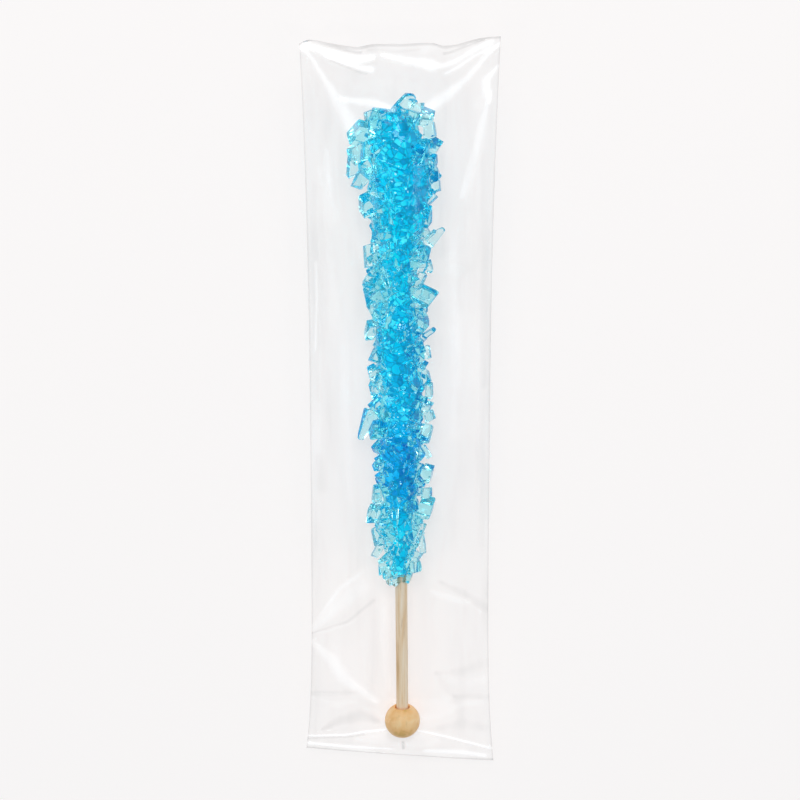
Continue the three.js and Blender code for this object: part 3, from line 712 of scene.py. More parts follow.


# %% [markdown]
# ## Folds in the film
# Pulled film folds in straight lines that start at the corners, the seals and a few pinched
# spots at its sides. Each fold here is a path with a width, how far it stands up, and how
# much painted light it carries: a glowing painted highlight where the film is pulled white
# along it, or painted shade where it folds under itself. These values are kept on the mesh
# for the film's finish to read.

# %% Folds
# Path points (x, y, half width), rise in millimetres, painted light (above 0 a highlight, below 0
# shade).
FOLDS = [
    ([(-25, 98.4, 0.5), (-22.2, 95.2, 0.7), (-18.6, 90.2, 1), (-15.6, 85.6, 2), (-12, 79.8, 2.4)],
     0.9, 0.5),
    ([(-14.5, 86.4, 0.8), (-7, 86.1, 1.3), (-1.5, 84.6, 0.8)], 0.4, 0.55),
    ([(-24.7, 98.8, 1), (-19.7, 97.9, 1.3), (-13.9, 97, 1.3), (-6.8, 96.8, 0.8)], 0.5, 0.9),
    ([(-18.9, 96.6, 0.5), (-12.6, 95.5, 0.8), (-7.3, 93.9, 1)], 0.3, 0.6),
    ([(-4.5, 97.4, 0.5), (1.3, 96.3, 0.8), (8, 94.8, 1.6)], 0.4, 0.7),
    ([(9.6, 94.8, 0.8), (16.4, 96.7, 0.7), (23.2, 98.8, 0.8)], 0.4, 0.5),
    ([(11.3, 93, 0.5), (18.9, 96, 0.6), (25, 97.6, 0.6)], 0.3, 0.45),
    ([(25, 98, 0.5), (21.4, 95, 0.7), (16.9, 90.9, 1.1), (11.5, 86.9, 1.9), (7, 84.3, 1.6)],
     0.9, 0.5),
    ([(24.6, 92.3, 0.5), (21.9, 89.2, 1.2), (22.6, 84, 0.8)], 0.4, 0.6),
    ([(23, 86, 0.5), (20.8, 78, 1.1), (18.8, 70, 1.5), (16, 60.5, 1.1)], 0.3, 0.36),
    ([(-21.2, 62, 1.5), (-21.4, 40, 2.4), (-21.2, 4, 1.4)], 0, -0.16),
    ([(21.2, 70, 1.1), (21.6, 45, 1.8), (21.9, 8, 1.1)], 0, -0.18),
    ([(-14.6, 52, 1.4), (-14.2, 20, 2), (-13.2, -22, 1.6)], 0, 0.12),
    ([(13.2, 50, 1.4), (14, 25, 1.9), (13.4, -4, 1.5)], 0, 0.14),
    ([(-21.6, -12, 1.6), (-20.8, -20, 2.2)], 0, -0.16),
    ([(-22.4, 98.9, 0.4), (-16.1, 99, 0.5), (-9.8, 98.5, 0.4)], -0.2, -0.7),
    ([(-8.1, 98.7, 0.5), (-1.3, 98.2, 0.6), (5, 98.4, 0.5)], -0.1, -0.3),
    ([(11.1, 98.1, 0.4), (15.9, 98.8, 0.5), (21.2, 99.2, 0.4)], -0.2, -0.6),
    ([(-17.6, 95.7, 0.3), (-12.1, 94.4, 0.4), (-8.1, 92.9, 0.3)], -0.2, -0.45),
    ([(-18.7, 72.1, 0.8), (-18.3, 67, 1), (-17.5, 60.3, 0.8)], 0.2, 0.25),
    ([(-21.6, 41.5, 0.3), (-21.5, 31.3, 0.35), (-22, 17.5, 0.3)], 0.1, 0.5),
    ([(-23.4, -61.9, 0.5), (-17.4, -54.8, 2.2), (-10.6, -47, 3.4)], 0.3, 0.3),
    ([(-23.6, -62.8, 0.3), (-13.9, -58.3, 0.5), (-6.9, -50.8, 0.6)], -0.15, -0.25),
    ([(-23.8, -61.2, 0.3), (-16, -48.4, 0.7), (-10.1, -42.5, 0.8)], 0.25, 0.25),
    ([(-23.5, -65.2, 0.8), (-18.3, -69.9, 2.2), (-14.8, -75.2, 2), (-6.7, -80.1, 1.3)],
     0.35, 0.36),
    ([(-23.8, -80.8, 0.8), (-17.5, -79.9, 1), (-11.6, -78.6, 0.5)], -0.3, -0.25),
    ([(-20.9, -91.6, 0.6), (-16.2, -87.7, 1.5), (-10.8, -85.3, 1.9), (-6.2, -86, 1.1)],
     -0.3, -0.36),
    ([(-25, -94.2, 0.3), (-14.9, -92, 0.35), (-8.6, -89.3, 0.35), (-4, -87.8, 0.3)], 0.7, 0.9),
    ([(-25, -95.2, 0.3), (-14.9, -93.2, 0.3), (-9.4, -91.1, 0.3)], -0.3, -0.4),
    ([(-25, -96.6, 0.5), (-13.6, -96.1, 0.5), (-2.2, -94.9, 0.5)], 0.3, 0.7),
    ([(5.1, -87.8, 0.3), (10.8, -90, 0.35), (17.9, -92.7, 0.35), (25, -95, 0.3)], 0.7, 0.9),
    ([(8.1, -88.2, 0.8), (16.8, -87.3, 1.8), (23.3, -89.4, 1.4)], -0.2, -0.16),
    ([(6.8, -95.3, 0.8), (16.3, -95.8, 0.8), (23.1, -97, 0.5)], 0.3, 0.55),
    ([(10.6, -45.6, 0.6), (17.3, -50.7, 1.4), (23.4, -55.7, 1.1)], -0.2, -0.2),
    ([(8.8, -48.3, 1), (13.3, -50.9, 1.3), (18.2, -53.4, 0.8)], 0.25, 0.25),
    ([(9.7, -72.4, 0.7), (12.4, -76.9, 1.3), (14.8, -80.5, 0.9)], -0.1, -0.12),
    ([(14.8, -79.8, 0.8), (19.4, -80.2, 1.2), (23.6, -80.8, 1)], -0.15, -0.2),
    ([(9.7, -72.4, 0.8), (16.7, -72.6, 1.3), (23.4, -71, 1.8)], 0.15, -0.14),
    ([(13.5, -74.5, 0.8), (17, -76.3, 1.6), (22.5, -75.5, 1.3)], 0.15, 0.16),
    ([(0.8, -91.4, 0.45), (0.9, -93.2, 0.5), (0.9, -94.4, 0.4)], 0.8, -0.9),
    ([(-4, -45.3, 1), (-4.5, -62.5, 1), (-3.2, -76.7, 0.8)], 0, 0.15),
]
# Widths of the painted dark shade line at the sides, the pale hem at the seals and the
# painted dark shade line at the ends, how strong each is, and how far from the edges the film
# starts to rise in folds.
SIDE_LINE, HEM, END_LINE = 0.45, 2.6, 0.6
SIDE_PAINTED_SHADE, HEM_WHITE, END_PAINTED_SHADE = 0.7, 0.12, 0.8
FREE_SPAN = (0, 2)
FOLD_SPAN, RISE_WIDTH = (0.1, 1.5), 1.6


def fold_reach(x, y, path):
    """How strongly each point belongs to a fold's path: 1 on it, 0 away from it."""
    reach = np.zeros_like(x)
    for (x0, y0, w0), (x1, y1, w1) in zip(path, path[1:]):
        t = np.clip(((x - x0) * (x1 - x0) + (y - y0) * (y1 - y0))
                    / ((x1 - x0) ** 2 + (y1 - y0) ** 2), 0, 1)
        away = np.hypot(x - x0 - t * (x1 - x0), y - y0 - t * (y1 - y0))
        reach = np.maximum(reach, 1 - smoothstep(*FOLD_SPAN, away / (w0 + t * (w1 - w0))))
    return reach


def folded(x, y):
    """Height, and painted highlight and shade, that the folds add."""
    lift, painted_fold_light = np.zeros_like(x), np.zeros_like(x)
    for path, rise, fold_light_level in FOLDS:
        wider_path = [(px, py, RISE_WIDTH * width) for px, py, width in path]
        lift += rise * fold_reach(x, y, wider_path)
        # Painted highlight above 0, painted shade below 0, along each fold's path.
        painted_fold_light += fold_light_level * fold_reach(x, y, path)
    from_edge = bag_half_width(y) - np.abs(x)
    # Painted dark shade along the side edges.
    painted_fold_light -= SIDE_PAINTED_SHADE * (1 - smoothstep(0.3, 1.2, from_edge / SIDE_LINE))
    from_seal = HALF * (1 - np.abs(up_bag(y)))
    painted_fold_light += HEM_WHITE * (1 - smoothstep(0.8, 1.2, from_seal / HEM))
    # Painted dark shade along the sealed ends.
    painted_fold_light -= END_PAINTED_SHADE * (1 - smoothstep(0.5, 1.2, from_seal / END_LINE))
    free = smoothstep(*FREE_SPAN, from_edge) * smoothstep(*FREE_SPAN, from_seal)
    return lift * free, np.clip(painted_fold_light, -1, 1)


# %% [markdown]
# ## The film's skin
# Top and underside are two sheets that meet at the side edges, like the flattened sleeve
# that a bag is made from. Both are rows of one grid, closed at its two ends, and the top has
# the finer columns, because all the folds are in it.

# %% Film skin
GROUND_GAP, EDGE_GAP = 0.06, 0.04
SKIN_INSET = 0.05  # keeps the skin inside the solid bag's box
RISE_AT_HEAD, RISE_AT_BALL = 80, -91
FLAT_SHARE = 1 / 3


def film_under(x, y):
    """The underside's height: flat in the middle, and up to the edges at its sides and ends."""
    head_end = smoothstep(RISE_AT_HEAD, BAG_MIDDLE + HALF, y)
    ball_end = 1 - smoothstep(BAG_MIDDLE - HALF, RISE_AT_BALL, y)
    end = np.maximum(head_end, ball_end)
    side = np.clip((np.abs(x) / bag_half_width(y) - FLAT_SHARE) / (1 - FLAT_SHARE), 0, 1)
    rise = edge_height(y) - EDGE_GAP - GROUND_GAP
    return GROUND_GAP + rise * np.maximum(end, side + end * (1 - side))


ROWS, COLUMNS, UNDER_COLUMNS = 520, 140, 14
reach = HALF - SKIN_INSET
row_y = np.linspace(BAG_MIDDLE - reach, BAG_MIDDLE + reach, ROWS + 1)


def film_grid(columns):
    grid_y, grid_u = np.meshgrid(row_y, np.linspace(-1, 1, columns + 1), indexing="ij")
    return grid_u * (bag_half_width(grid_y) - SKIN_INSET), grid_y


top_x, top_y = film_grid(COLUMNS)
lift, top_painted_light = folded(top_x, top_y)
lowest = film_under(top_x, top_y) + GROUND_GAP
top_z = np.maximum(tight_film(top_x, top_y) + lift, lowest)
under_x, under_y = film_grid(UNDER_COLUMNS)
under_z = film_under(under_x, under_y)
film_points = np.concatenate([
    np.stack([top_x, slanted(top_x, top_y), top_z], -1),
    np.stack([under_x, slanted(under_x, under_y), under_z], -1)[:, ::-1],
], axis=1)
film_painted_light = np.concatenate([top_painted_light, np.zeros_like(under_x)], axis=1)
ring = COLUMNS + UNDER_COLUMNS + 2
film_faces = []
for row in range(ROWS):
    for i in range(ring):
        j = (i + 1) % ring
        a, b = row * ring + i, row * ring + j
        film_faces.append((a, b, b + ring, a + ring))
per_under = COLUMNS // UNDER_COLUMNS
for i in range(UNDER_COLUMNS):
    tops = [per_under * i + k for k in range(per_under + 1)]
    end_face = [*tops, ring - 2 - i, ring - 1 - i]
    film_faces.append(end_face[::-1])
    film_faces.append([ROWS * ring + k for k in end_face])
film = make_piece("film_bag", film_points.reshape(-1, 3) * MM, film_faces, smooth=True)
# The painted fold highlights and shade, kept on the mesh for the film's finish to read.
film.data.attributes.new("painted_fold_light", "FLOAT", "POINT").data.foreach_set(
    "value", film_painted_light.reshape(-1)
)
print("film triangles:", triangle_count(film))

# %% [markdown]
# ## The wooden stick and its ball
# The stick is a thin dowel and the ball a turned bead, bored to take it. Both are round, so
# each is an outline turned about its axis with enough sides that no corner shows.

# %% Turned wood


def turned(name, outline, sides):
    """A closed round piece from (radius, height) pairs that start and end on the axis."""
    points, faces = [], []
    for radius, height in outline[1:-1]:
        for side in range(sides):
            angle = 2 * math.pi * side / sides
            points.append((radius * math.cos(angle), height, radius * math.sin(angle)))
    first, last = len(points), len(points) + 1
    points += [(0, outline[0][1], 0), (0, outline[-1][1], 0)]
    rings = len(outline) - 2
    for side in range(sides):
        j = (side + 1) % sides
        faces.append((first, side, j))
        faces.append((last, (rings - 1) * sides + j, (rings - 1) * sides + side))
        for ring_index in range(rings - 1):
            a = ring_index * sides
            faces.append((a + side, a + sides + side, a + sides + j, a + j))
    return make_piece(name, to_row_frame(points), faces, smooth=True)


# Millimetres from the ball's centre up the stick.
STICK_FOOT, STICK_TOP, STICK_CHAMFER, STICK_RINGS = -2.6, 154, 0.15, 60
BORE_FLOOR, BORE_GAP, BORE_LIP = -2.9, 0.3, 0.45
BALL_START, BALL_RINGS = 0.05, 44  # radians from its lowest point to the first ring

r, R = STICK_DIAMETER / 2, BEAD_DIAMETER / 2
stick_outline = [(0, STICK_FOOT), (r - STICK_CHAMFER, STICK_FOOT), (r, STICK_FOOT + 0.2)]
stick_outline += [(r, float(h)) for h in np.linspace(0, STICK_TOP - 1, STICK_RINGS)]
stick_outline += [(r - STICK_CHAMFER, STICK_TOP), (0, STICK_TOP)]
stick = turned("dowel", stick_outline, 48)
bore = r + BORE_GAP
mouth = math.acos((bore + BORE_LIP) / R)
angles = np.linspace(BALL_START - math.pi / 2, mouth, BALL_RINGS)
rim = R * math.sin(mouth)
bead_outline = [(0, -R), *((R * math.cos(a), R * math.sin(a)) for a in angles)]
bead_outline += [(bore + 0.25, rim + 0.02), (bore + 0.05, rim - 0.2), (bore, rim - 0.6)]
bead_outline += [(bore, BORE_FLOOR), (0, BORE_FLOOR)]
bead = turned("ball_end", bead_outline, 64)
print("wood triangles:", triangle_count(stick), triangle_count(bead))

# %% [markdown]
# ## Helpers for finishes
# A finish here is a net of small nodes: textures, ramps and sums. Each helper adds one node
# and wires it, so a finish reads as a list of steps. Set on its own socket, a plain number
# stays plain.

# %% Material helpers


def set_inputs(node, **values):
    """Plain values for a node's sockets, with _ for the spaces in their names."""
    for key, value in values.items():
        node.inputs[key.replace("_", " ")].default_value = value


class Net:
    """The nodes of one material or group, with a helper for each usual kind."""

    def __init__(self, tree):
        self.nodes, self.links = tree.nodes, tree.links

    def add(self, kind, **values):
        node = self.nodes.new("ShaderNode" + kind)
        set_inputs(node, **values)
        return node

    def feed(self, socket, value):
        """Wire a socket to another one, or set it to a number or a colour."""
        if isinstance(value, bpy.types.NodeSocket):
            self.links.new(value, socket)
        else:
            socket.default_value = (*value, 1) if isinstance(value, tuple) else value

    def calc(self, operation, *values):
        node = self.add("Math")
        node.operation = operation
        for socket, value in zip(node.inputs, values):
            self.feed(socket, value)
        return node.outputs[0]

    def mixed(self, share, first, second, blend="MIX"):
        mix = self.add("Mix")
        mix.data_type = "RGBA"
        mix.blend_type = blend
        for name, value in (("Factor", share), ("A", first), ("B", second)):
            self.feed(mix.inputs[name], value)
        return mix.outputs["Result"]

    def ranged(self, source, from_range, to_range=(0, 1)):
        """A value moved from one range to another, and held inside it."""
        (a, b), (c, d) = from_range, to_range
        node = self.add("MapRange", From_Min=a, From_Max=b, To_Min=c, To_Max=d)
        self.feed(node.inputs["Value"], source)
        return node.outputs["Result"]

    def ramped(self, source, stops):
        """A colour ramp from (place, colour) stops."""
        ramp = self.add("ValToRGB")
        elements = ramp.color_ramp.elements
        while len(elements) < len(stops):
            elements.new(0.5)
        for element, (place, colour) in zip(elements, stops):
            element.position = place
            element.color = (*colour, 1)
        self.feed(ramp.inputs["Fac"], source)
        return ramp.outputs["Color"]

    def place(self):
        """Where a point is on its own piece, in metres."""
        return self.add("TexCoord").outputs["Object"]

    def axes(self):
        """The same place, as one value for each axis."""
        node = self.add("SeparateXYZ")
        self.feed(node.inputs[0], self.place())
        return node.outputs

    def steepness(self):
        """0 where a face looks at the viewer, and up to 1 where it turns away."""
        facing = self.add("LayerWeight", Blend=0.5)
        return self.calc("POWER", facing.outputs["Facing"], 4.0)

    def use(self, group, **values):
        """The outputs of a group, with plain values for its inputs."""
        node = self.add("Group")
        node.node_tree = group
        set_inputs(node, **values)
        return node.outputs


def new_material(name):
    material = bpy.data.materials.new(name)
    material.use_nodes = True
    net = Net(material.node_tree)
    return material, net, net.nodes["Principled BSDF"]


def new_group(name, inputs, outputs):
    """A shader node group with number inputs (name, default) and outputs."""
    group = bpy.data.node_groups.new(name, "ShaderNodeTree")
    for socket, default in inputs:
        made = group.interface.new_socket(socket, in_out="INPUT", socket_type="NodeSocketFloat")
        made.default_value = default
    for socket in outputs:
        group.interface.new_socket(socket, in_out="OUTPUT", socket_type="NodeSocketFloat")
    given = group.nodes.new("NodeGroupInput").outputs
    return group, Net(group), given, group.nodes.new("NodeGroupOutput").inputs


# %% [markdown]
# ## Group: cells in the sugar
# Inside the candy small crystals meet at walls that scatter light, some pale and some deep.
# A Voronoi texture splits space into such cells. The group gives each cell its own random
# value, a mask of the walls between cells, and a mask of a round spot at the heart of some
# of them, which the core paints as a white sparkle. Both the core and the clear sugar over it
# use it, each at its own size.

# %% Group: grown cells
SPARK_CELLS = 0.4  # the share of cells that have a spark

cells, net, given, gives = new_group(
    "grown cells", [("Size", 0.002), ("Wall", 0.1), ("Spark", 0.12)], ["Cell", "Wall", "Spark"]
)
spot = net.place()
scale = net.calc("DIVIDE", 1.0, given["Size"])
body, edge = net.add("TexVoronoi"), net.add("TexVoronoi")
edge.feature = "DISTANCE_TO_EDGE"
for texture in (body, edge):
    net.feed(texture.inputs["Vector"], spot)
    net.feed(texture.inputs["Scale"], scale)
chance = net.add("SeparateColor")
net.feed(chance.inputs[0], body.outputs["Color"])
net.feed(gives["Cell"], chance.outputs[0])
near = net.calc("DIVIDE", edge.outputs["Distance"], given["Wall"])
net.feed(gives["Wall"], net.ranged(near, (0, 1), (1, 0)))
inside = net.calc("LESS_THAN", body.outputs["Distance"], given["Spark"])
chosen = net.calc("GREATER_THAN", chance.outputs[1], 1 - SPARK_CELLS)
net.feed(gives["Spark"], net.calc("MULTIPLY", inside, chosen))
print("group", cells.name, "with", len(net.nodes), "nodes")

# %% [markdown]
# ## Group: how strong the dye is
# Where the syrup was strongest both the core and the clear crystals over it are a deeper blue.
# A ramp along the stick says how deep, and both finishes read it from this group.

# %% Group: dye strength
# Along the model from DEEP_SPAN's start to its end: how much of the deep blue shows.
DEEP_SPAN = (-0.05, 0.09)
DEEP_ZONES = (
    (0.0, 0.2), (0.13, 0.1), (0.2, 0.75), (0.31, 0.9), (0.37, 0.35), (0.5, 0.2), (0.58, 0.0),
    (0.72, 0.05), (0.8, 0.15), (0.92, 0.1),
)

dye_strength, net, _, gives = new_group("dye strength", [], ["Deep"])
along = net.ranged(net.axes()["Y"], DEEP_SPAN)
zones = net.ramped(along, [(place, (share,) * 3) for place, share in DEEP_ZONES])
net.feed(gives["Deep"], zones)
print("group", dye_strength.name, "with", len(net.nodes), "nodes")

# %% [markdown]
# ## Finish: the core
# Light goes in and out of the grown sugar many times, and comes back as strong blue from
# every side. Tracing that is slow, so the core is an opaque body with a painted glow in its
# own colour. Its tone changes from cell to cell, faces turned to one side get painted light,
# and some cells a painted white sparkle. Where the dye is strong, a deep blue multiplies it.

# %% Core sugar
CORE_CELL, CORE_WALL, CORE_SPARK = 0.0019, 0.1, 0.15
# Painted light: faces turned towards this side are painted lighter; then how much the cell's own
# tone and that painted light each add.
PAINTED_LIGHT_SIDE = (-0.45, -0.35, 0.3)
CELL_SHARE, PAINTED_LIGHT_SHARE = 0.8, 0.5
CORE_TONES = (
    (0.0, (0.0, 0.2, 0.41)), (0.25, (0.0, 0.35, 0.56)), (0.5, (0.0, 0.5, 0.69)),
    (0.75, (0.0, 0.61, 0.77)), (0.95, (0.1, 0.78, 0.87)),
)
# Deep blue of the dye, dark walls between cells, and a painted white sparkle.
DEEP_BLUE, WALL_BLUE, PAINTED_SPARKLE_WHITE = (0.1, 0.5, 0.85), (0.0, 0.22, 0.36), (0.75, 0.97, 1.0)
# A painted glow in the core's own colour, standing in for light scattered in the sugar.
CORE_PAINTED_GLOW = 0.76

core_material, net, shader = new_material("core_sugar")
grown = net.use(cells, Size=CORE_CELL, Wall=CORE_WALL, Spark=CORE_SPARK)
# Painted light: a face's tone rises the more it turns towards that side.
side_light_dot = net.add("VectorMath")
side_light_dot.operation = "DOT_PRODUCT"
net.feed(side_light_dot.inputs[0], net.add("TexCoord").outputs["Normal"])
side_light_dot.inputs[1].default_value = PAINTED_LIGHT_SIDE
painted_side_light = net.calc("MULTIPLY", side_light_dot.outputs["Value"], PAINTED_LIGHT_SHARE)
tone = net.calc("MULTIPLY_ADD", grown["Cell"], CELL_SHARE, painted_side_light)
tone = net.ramped(tone, CORE_TONES)
tone = net.mixed(net.use(dye_strength)["Deep"], tone, DEEP_BLUE, blend="MULTIPLY")
tone = net.mixed(grown["Wall"], tone, WALL_BLUE)
# Painted white sparkles in some cells.
tone = net.mixed(grown["Spark"], tone, PAINTED_SPARKLE_WHITE)
net.feed(shader.inputs["Base Color"], tone)
# The same colour again, as a painted glow.
net.feed(shader.inputs["Emission Color"], tone)
set_inputs(shader, Emission_Strength=CORE_PAINTED_GLOW, Roughness=0.2)
set_inputs(shader, Specular_IOR_Level=0.3, Specular_Tint=(0.1, 0.75, 1, 1))
print(core_material.name, "has", len(net.nodes), "nodes")

# %% [markdown]
# ## Finish: the clear sugar
# The outer crystals are clear sugar with a trace of the same dye, which a volume that absorbs
# red shows best: thin corners stay nearly white, and thick ones turn cyan. Where a face turns
# away from the view, a darker teal is painted on as shade, for the dark outlines that steep
# crystal walls show. Small teal specks, where two crystals meet inside, come from the cell group.

# %% Clear sugar
SUGAR_IOR = 1.44
# Body tint; a painted teal shade on faces that turn away, for the dark outlines of steep walls;
# and the specks' teal.
BODY_TINT, STEEP_PAINTED_SHADE, SPECK_TINT = (0.97, 0.995, 1.0), (0.05, 0.5, 0.62), (0.02, 0.4, 0.48)
DEEP_TINT = (0.75, 0.99, 1.0)
DYE, DYE_DENSITY = (0.02, 0.91, 0.98), 120
SPECK_CELL, SPECK_WALL, SPECK_SIZE, SPECK_STRENGTH = 0.0026, 0.06, 0.14, 0.85
SMOOTH, FROSTED = 0.0, 0.03

outer_sugar, net, shader = new_material("clear_sugar")
set_inputs(shader, IOR=SUGAR_IOR, Specular_IOR_Level=0.2, Transmission_Weight=1.0)
set_inputs(shader, Specular_Tint=(0.45, 0.93, 1, 1))
# Painted shade: a darker teal where a face turns away from the view.
tint = net.mixed(net.steepness(), BODY_TINT, STEEP_PAINTED_SHADE)
tint = net.mixed(net.use(dye_strength)["Deep"], tint, DEEP_TINT, blend="MULTIPLY")
grown = net.use(cells, Size=SPECK_CELL, Wall=SPECK_WALL, Spark=SPECK_SIZE)
speck = net.calc("MULTIPLY", grown["Spark"], SPECK_STRENGTH)
net.feed(shader.inputs["Base Color"], net.mixed(speck, tint, SPECK_TINT))
frost = net.ranged(grown["Cell"], (0, 1), (SMOOTH, FROSTED))
net.feed(shader.inputs["Roughness"], frost)
absorb = net.add("VolumeAbsorption", Color=(*DYE, 1), Density=DYE_DENSITY)
net.feed(net.nodes["Material Output"].inputs["Volume"], absorb.outputs[0])
print(outer_sugar.name, "has", len(net.nodes), "nodes")

# %% [markdown]
# ## Group: streaks
# Birch and beech both show fine streaks along the grain and short dark flecks, and pulled film
# has soft ripples along its length. All are one noise stretched along Y, so one group makes
# them: it puts out the streaks, and flecks from the same noise at about a third of the size.

# %% Group: streaks
FLECK_SHRINK, FLECK_RANGE = 0.35, (0.62, 0.72)
streaks, net, given, gives = new_group(
    "streaks", [("Width", 0.0006), ("Length", 0.02)], ["Streaks", "Flecks"]
)
axes = net.axes()


def stretched(shrink):
    along = net.add("CombineXYZ")
    width = net.calc("MULTIPLY", given["Width"], shrink)
    length = net.calc("MULTIPLY", given["Length"], shrink)
    for axis, size in zip("XYZ", (width, length, width)):
        net.feed(along.inputs[axis], net.calc("DIVIDE", axes[axis], size))
    noise = net.add("TexNoise", Scale=1, Detail=3)
    net.feed(noise.inputs["Vector"], along.outputs[0])
    return noise.outputs["Fac"]


net.feed(gives["Streaks"], stretched(1.0))
net.feed(gives["Flecks"], net.ranged(stretched(FLECK_SHRINK), FLECK_RANGE))
print("group", streaks.name, "with", len(net.nodes), "nodes")

# %% [markdown]
# ## Finish: wood
# The stick is pale birch and the ball a warmer beech, both plain sanded wood with no varnish.
# The streaks colour the wood through a ramp, raise its grain a little, and make the dark grain
# rougher than the pale.

# %% Wood
GRAIN_RISE = 0.0001


def wood(name, stops, fleck_colour, fleck_share, width, length, roughness):
    material, net, shader = new_material(name)
    grown = net.use(streaks, Width=width, Length=length)
    tone = net.ramped(grown["Streaks"], stops)
    share = net.calc("MULTIPLY", grown["Flecks"], fleck_share)
    net.feed(shader.inputs["Base Color"], net.mixed(share, tone, fleck_colour))
    bump = net.add("Bump", Strength=0.25, Distance=GRAIN_RISE)
    net.feed(bump.inputs["Height"], grown["Streaks"])
    net.feed(shader.inputs["Normal"], bump.outputs["Normal"])
    rough_range = (roughness - 0.1, roughness + 0.15)
    net.feed(shader.inputs["Roughness"], net.ranged(grown["Streaks"], (0, 1), rough_range))
    print(name, "has", len(net.nodes), "nodes")
    return material


wood_material = wood(
    "birch",
    ((0.3, (0.66, 0.4, 0.19)), (0.42, (0.86, 0.57, 0.33)), (0.55, (0.95, 0.7, 0.47)),
     (0.75, (1.0, 0.81, 0.63))),
    (0.42, 0.22, 0.1), 0.5, 0.0009, 0.03, 0.6,
)
bead_material = wood(
    "beech",
    ((0.3, (0.74, 0.41, 0.1)), (0.45, (0.96, 0.53, 0.205)), (0.62, (1.0, 0.62, 0.29)),
     (0.8, (1.0, 0.69, 0.37))),
    (0.5, 0.27, 0.07), 0.25, 0.0028, 0.0042, 0.42,
)

# %% [markdown]
# ## Finish: clear film
# Film this thin doesn't bend light, so it is a see-through shader with a gloss over it that
# grows as the film turns away. Glass would have needed two skins a hair apart. The values
# that the folds left on the mesh paint glowing white highlights along the folds, and painted
# grey shade where the film folds under itself and at its edges and ends. The streaks group
# adds faint painted light and shade in ripples along its length.

# %% Film
# A painted glow for the white highlights, the see-through colour from clearest to most painted
# shade, the most painted white, where painted white starts, the gloss head on and steep, and the
# ripples' painted light and shade.
PAINTED_HIGHLIGHT_GLOW = 0.74
CLEAREST, GREYEST, WHITEST = 0.992, 0.74, 0.42
PAINTED_HIGHLIGHT_START = 0.06
HEAD_ON_GLOSS, STEEP_GLOSS = 0.007, 0.8
RIPPLE, RIPPLE_MIDDLE = 0.5, -0.25

film_material, net, white = new_material("film")
# A white with a painted glow, for the painted highlights.
set_inputs(white, Base_Color=(0.9, 0.9, 0.9, 1), Roughness=0.5)
set_inputs(white, Emission_Color=(1, 1, 1, 1), Emission_Strength=PAINTED_HIGHLIGHT_GLOW)
painted_fold_light = net.add("Attribute")
painted_fold_light.attribute_name = "painted_fold_light"
ripple = net.use(streaks, Width=0.004, Length=0.03)["Streaks"]
# Painted light and shade of faint ripples along the film.
ripple_light_and_shade = net.calc("MULTIPLY_ADD", ripple, RIPPLE, RIPPLE_MIDDLE)
fold_light_level = net.calc("ADD", painted_fold_light.outputs["Fac"], ripple_light_and_shade)
clear = net.add("BsdfTransparent")
# Painted shade: the film greys where the fold values fall below 0.
net.feed(clear.inputs["Color"], net.ranged(fold_light_level, (0, -1), (CLEAREST, GREYEST)))
gloss = net.add("BsdfGlossy", Roughness=0.08, Color=(1, 1, 1, 1))
shine = net.calc("MULTIPLY_ADD", net.steepness(), STEEP_GLOSS, HEAD_ON_GLOSS)
# Painted highlight: glowing white where the fold values rise above the start.
painted_highlight = net.ranged(fold_light_level, (PAINTED_HIGHLIGHT_START, 1), (0, WHITEST))


def mixed_shaders(*sources):
    mix = net.add("MixShader")
    for socket, source in zip(mix.inputs, sources):
        net.feed(socket, source)
    return mix.outputs[0]


shiny = mixed_shaders(shine, clear.outputs[0], gloss.outputs[0])
with_painted_highlight = mixed_shaders(painted_highlight, shiny, white.outputs[0])
net.feed(net.nodes["Material Output"].inputs["Surface"], with_painted_highlight)
print(film_material.name, "has", len(net.nodes), "nodes")

# %% [markdown]
# ## Giving each piece its finish
# Each piece was made without a finish, so it gets its own here.

# %% Finishes on pieces
FINISHES = (
    (crystals, outer_sugar), (core, core_material), (stick, wood_material),
    (bead, bead_material), (film, film_material),
)
for piece, material in FINISHES:
    piece.data.materials.append(material)
print("finishes:", [material.name for _, material in FINISHES])

# %% [markdown]
# ## The floor
# A clear thing is lit best from below and behind, so the floor is pale and glows a little,
# as a light table does. Its own colour is a little warm, which balances the bluer light from
# the surroundings and leaves it neutral. It is wider than any view of the stick.

# %% Floor
FLOOR_REACH = 3
FLOOR_TONE, FLOOR_GLOW = (0.465, 0.395, 0.367, 1), 0.6
floor = make_piece(
    "floor",
    [(x * FLOOR_REACH, y * FLOOR_REACH, 0) for x, y in ((-1, -1), (1, -1), (1, 1), (-1, 1))],
    [(0, 1, 2, 3)],
)
floor_material, _, shader = new_material("floor")
set_inputs(shader, Base_Color=FLOOR_TONE, Roughness=1, Specular_IOR_Level=0)
set_inputs(shader, Emission_Color=(1, 1, 1, 1), Emission_Strength=FLOOR_GLOW)
floor.data.materials.append(floor_material)
print("floor is", 2 * FLOOR_REACH, "m wide")

# %% [markdown]
# ## The light
# Even, rather dim surroundings are what gives clear crystals their darker edges and bright
# insides. They are slightly blue, so the pale crystals don't turn grey. A wide panel above
# the head lights the wood, and a panel at each side and one beyond the head put long soft
# highlights on the film.

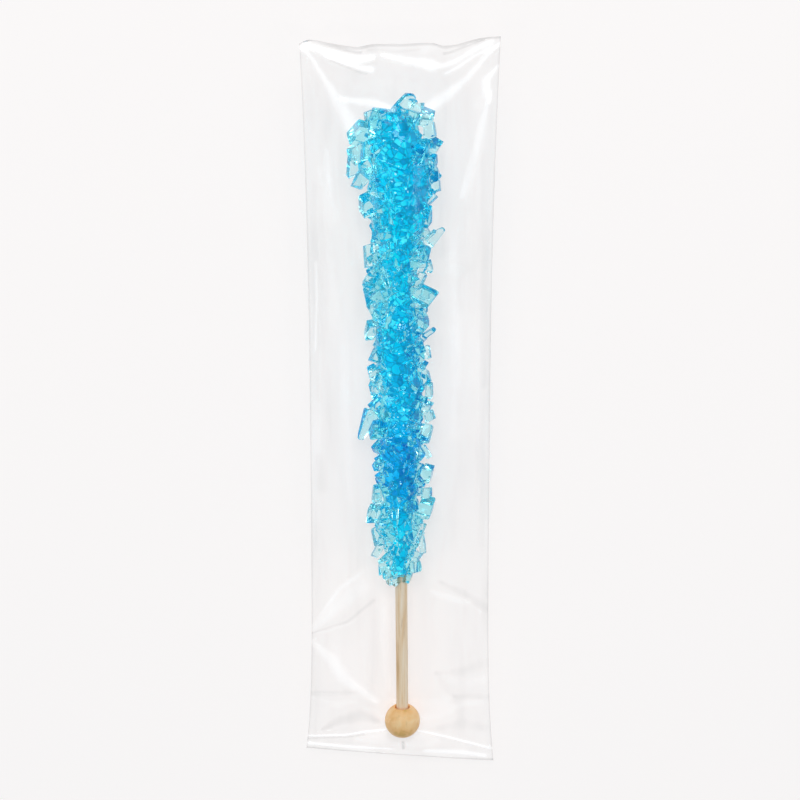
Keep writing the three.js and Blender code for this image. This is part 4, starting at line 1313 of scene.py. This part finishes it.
# %% Light
SURROUNDINGS = (0.32, 0.41, 0.47, 1)
world = bpy.data.worlds.new("studio")
bpy.context.scene.world = world
world.use_nodes = True
set_inputs(world.node_tree.nodes["Background"], Color=SURROUNDINGS, Strength=1)


def panel(name, place, size, watts):
    """A soft rectangular light at a place, turned to the middle of the bag."""
    light = bpy.data.lights.new(name, "AREA")
    light.shape = "RECTANGLE"
    light.size, light.size_y = size
    light.energy = watts
    lamp = bpy.data.objects.new(name, light)
    lamp.location = place
    lamp.rotation_euler = (-Vector(place)).to_track_quat("-Z", "Y").to_euler()
    bpy.context.scene.collection.objects.link(lamp)
    return lamp


panels = [
    panel("left_panel", (-1.0, -0.45, 1.25), (0.25, 0.5), 2.0),
    panel("right_panel", (1.1, -0.4, 1.1), (0.25, 0.5), 2.0),
    panel("head_panel", (-0.3, 1.4, 1.0), (0.5, 0.3), 2.5),
    panel("top_panel", (0, 0.65, 1.1), (0.5, 0.4), 5.2),
]
print("panels:", [(lamp.name, lamp.data.energy) for lamp in panels])

# %% [markdown]
# ## How light is traced
# A ray crosses many faces in a heap of crystals, so it is allowed more bounces than usual.
# The plain view transform keeps the blue as strong as its colours say.

# %% Tracing
CLEAR_BOUNCES, GLOSSY_BOUNCES, DIFFUSE_BOUNCES = 32, 12, 6
scene = bpy.context.scene
scene.view_settings.view_transform = "Standard"
scene.cycles.max_bounces = CLEAR_BOUNCES
scene.cycles.transmission_bounces = CLEAR_BOUNCES
scene.cycles.transparent_max_bounces = CLEAR_BOUNCES
scene.cycles.glossy_bounces = GLOSSY_BOUNCES
scene.cycles.diffuse_bounces = DIFFUSE_BOUNCES
print("bounces through clear sugar:", CLEAR_BOUNCES)

# %% [markdown]
# ## Pieces on the body
# Each piece rides on the one body and stands for a solid. The clear crystals and the core
# together stand for the candy.

# %% Bodies and nodes
for piece, node, slot_name in (
    (crystals, "rock_candy", "blue_sugar"),
    (core, "rock_candy", "blue_sugar"),
    (stick, "stick", "birch"),
    (bead, "bead", "beech"),
    (film, "bag", "clear_film"),
):
    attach(piece, "root")
    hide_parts(node)
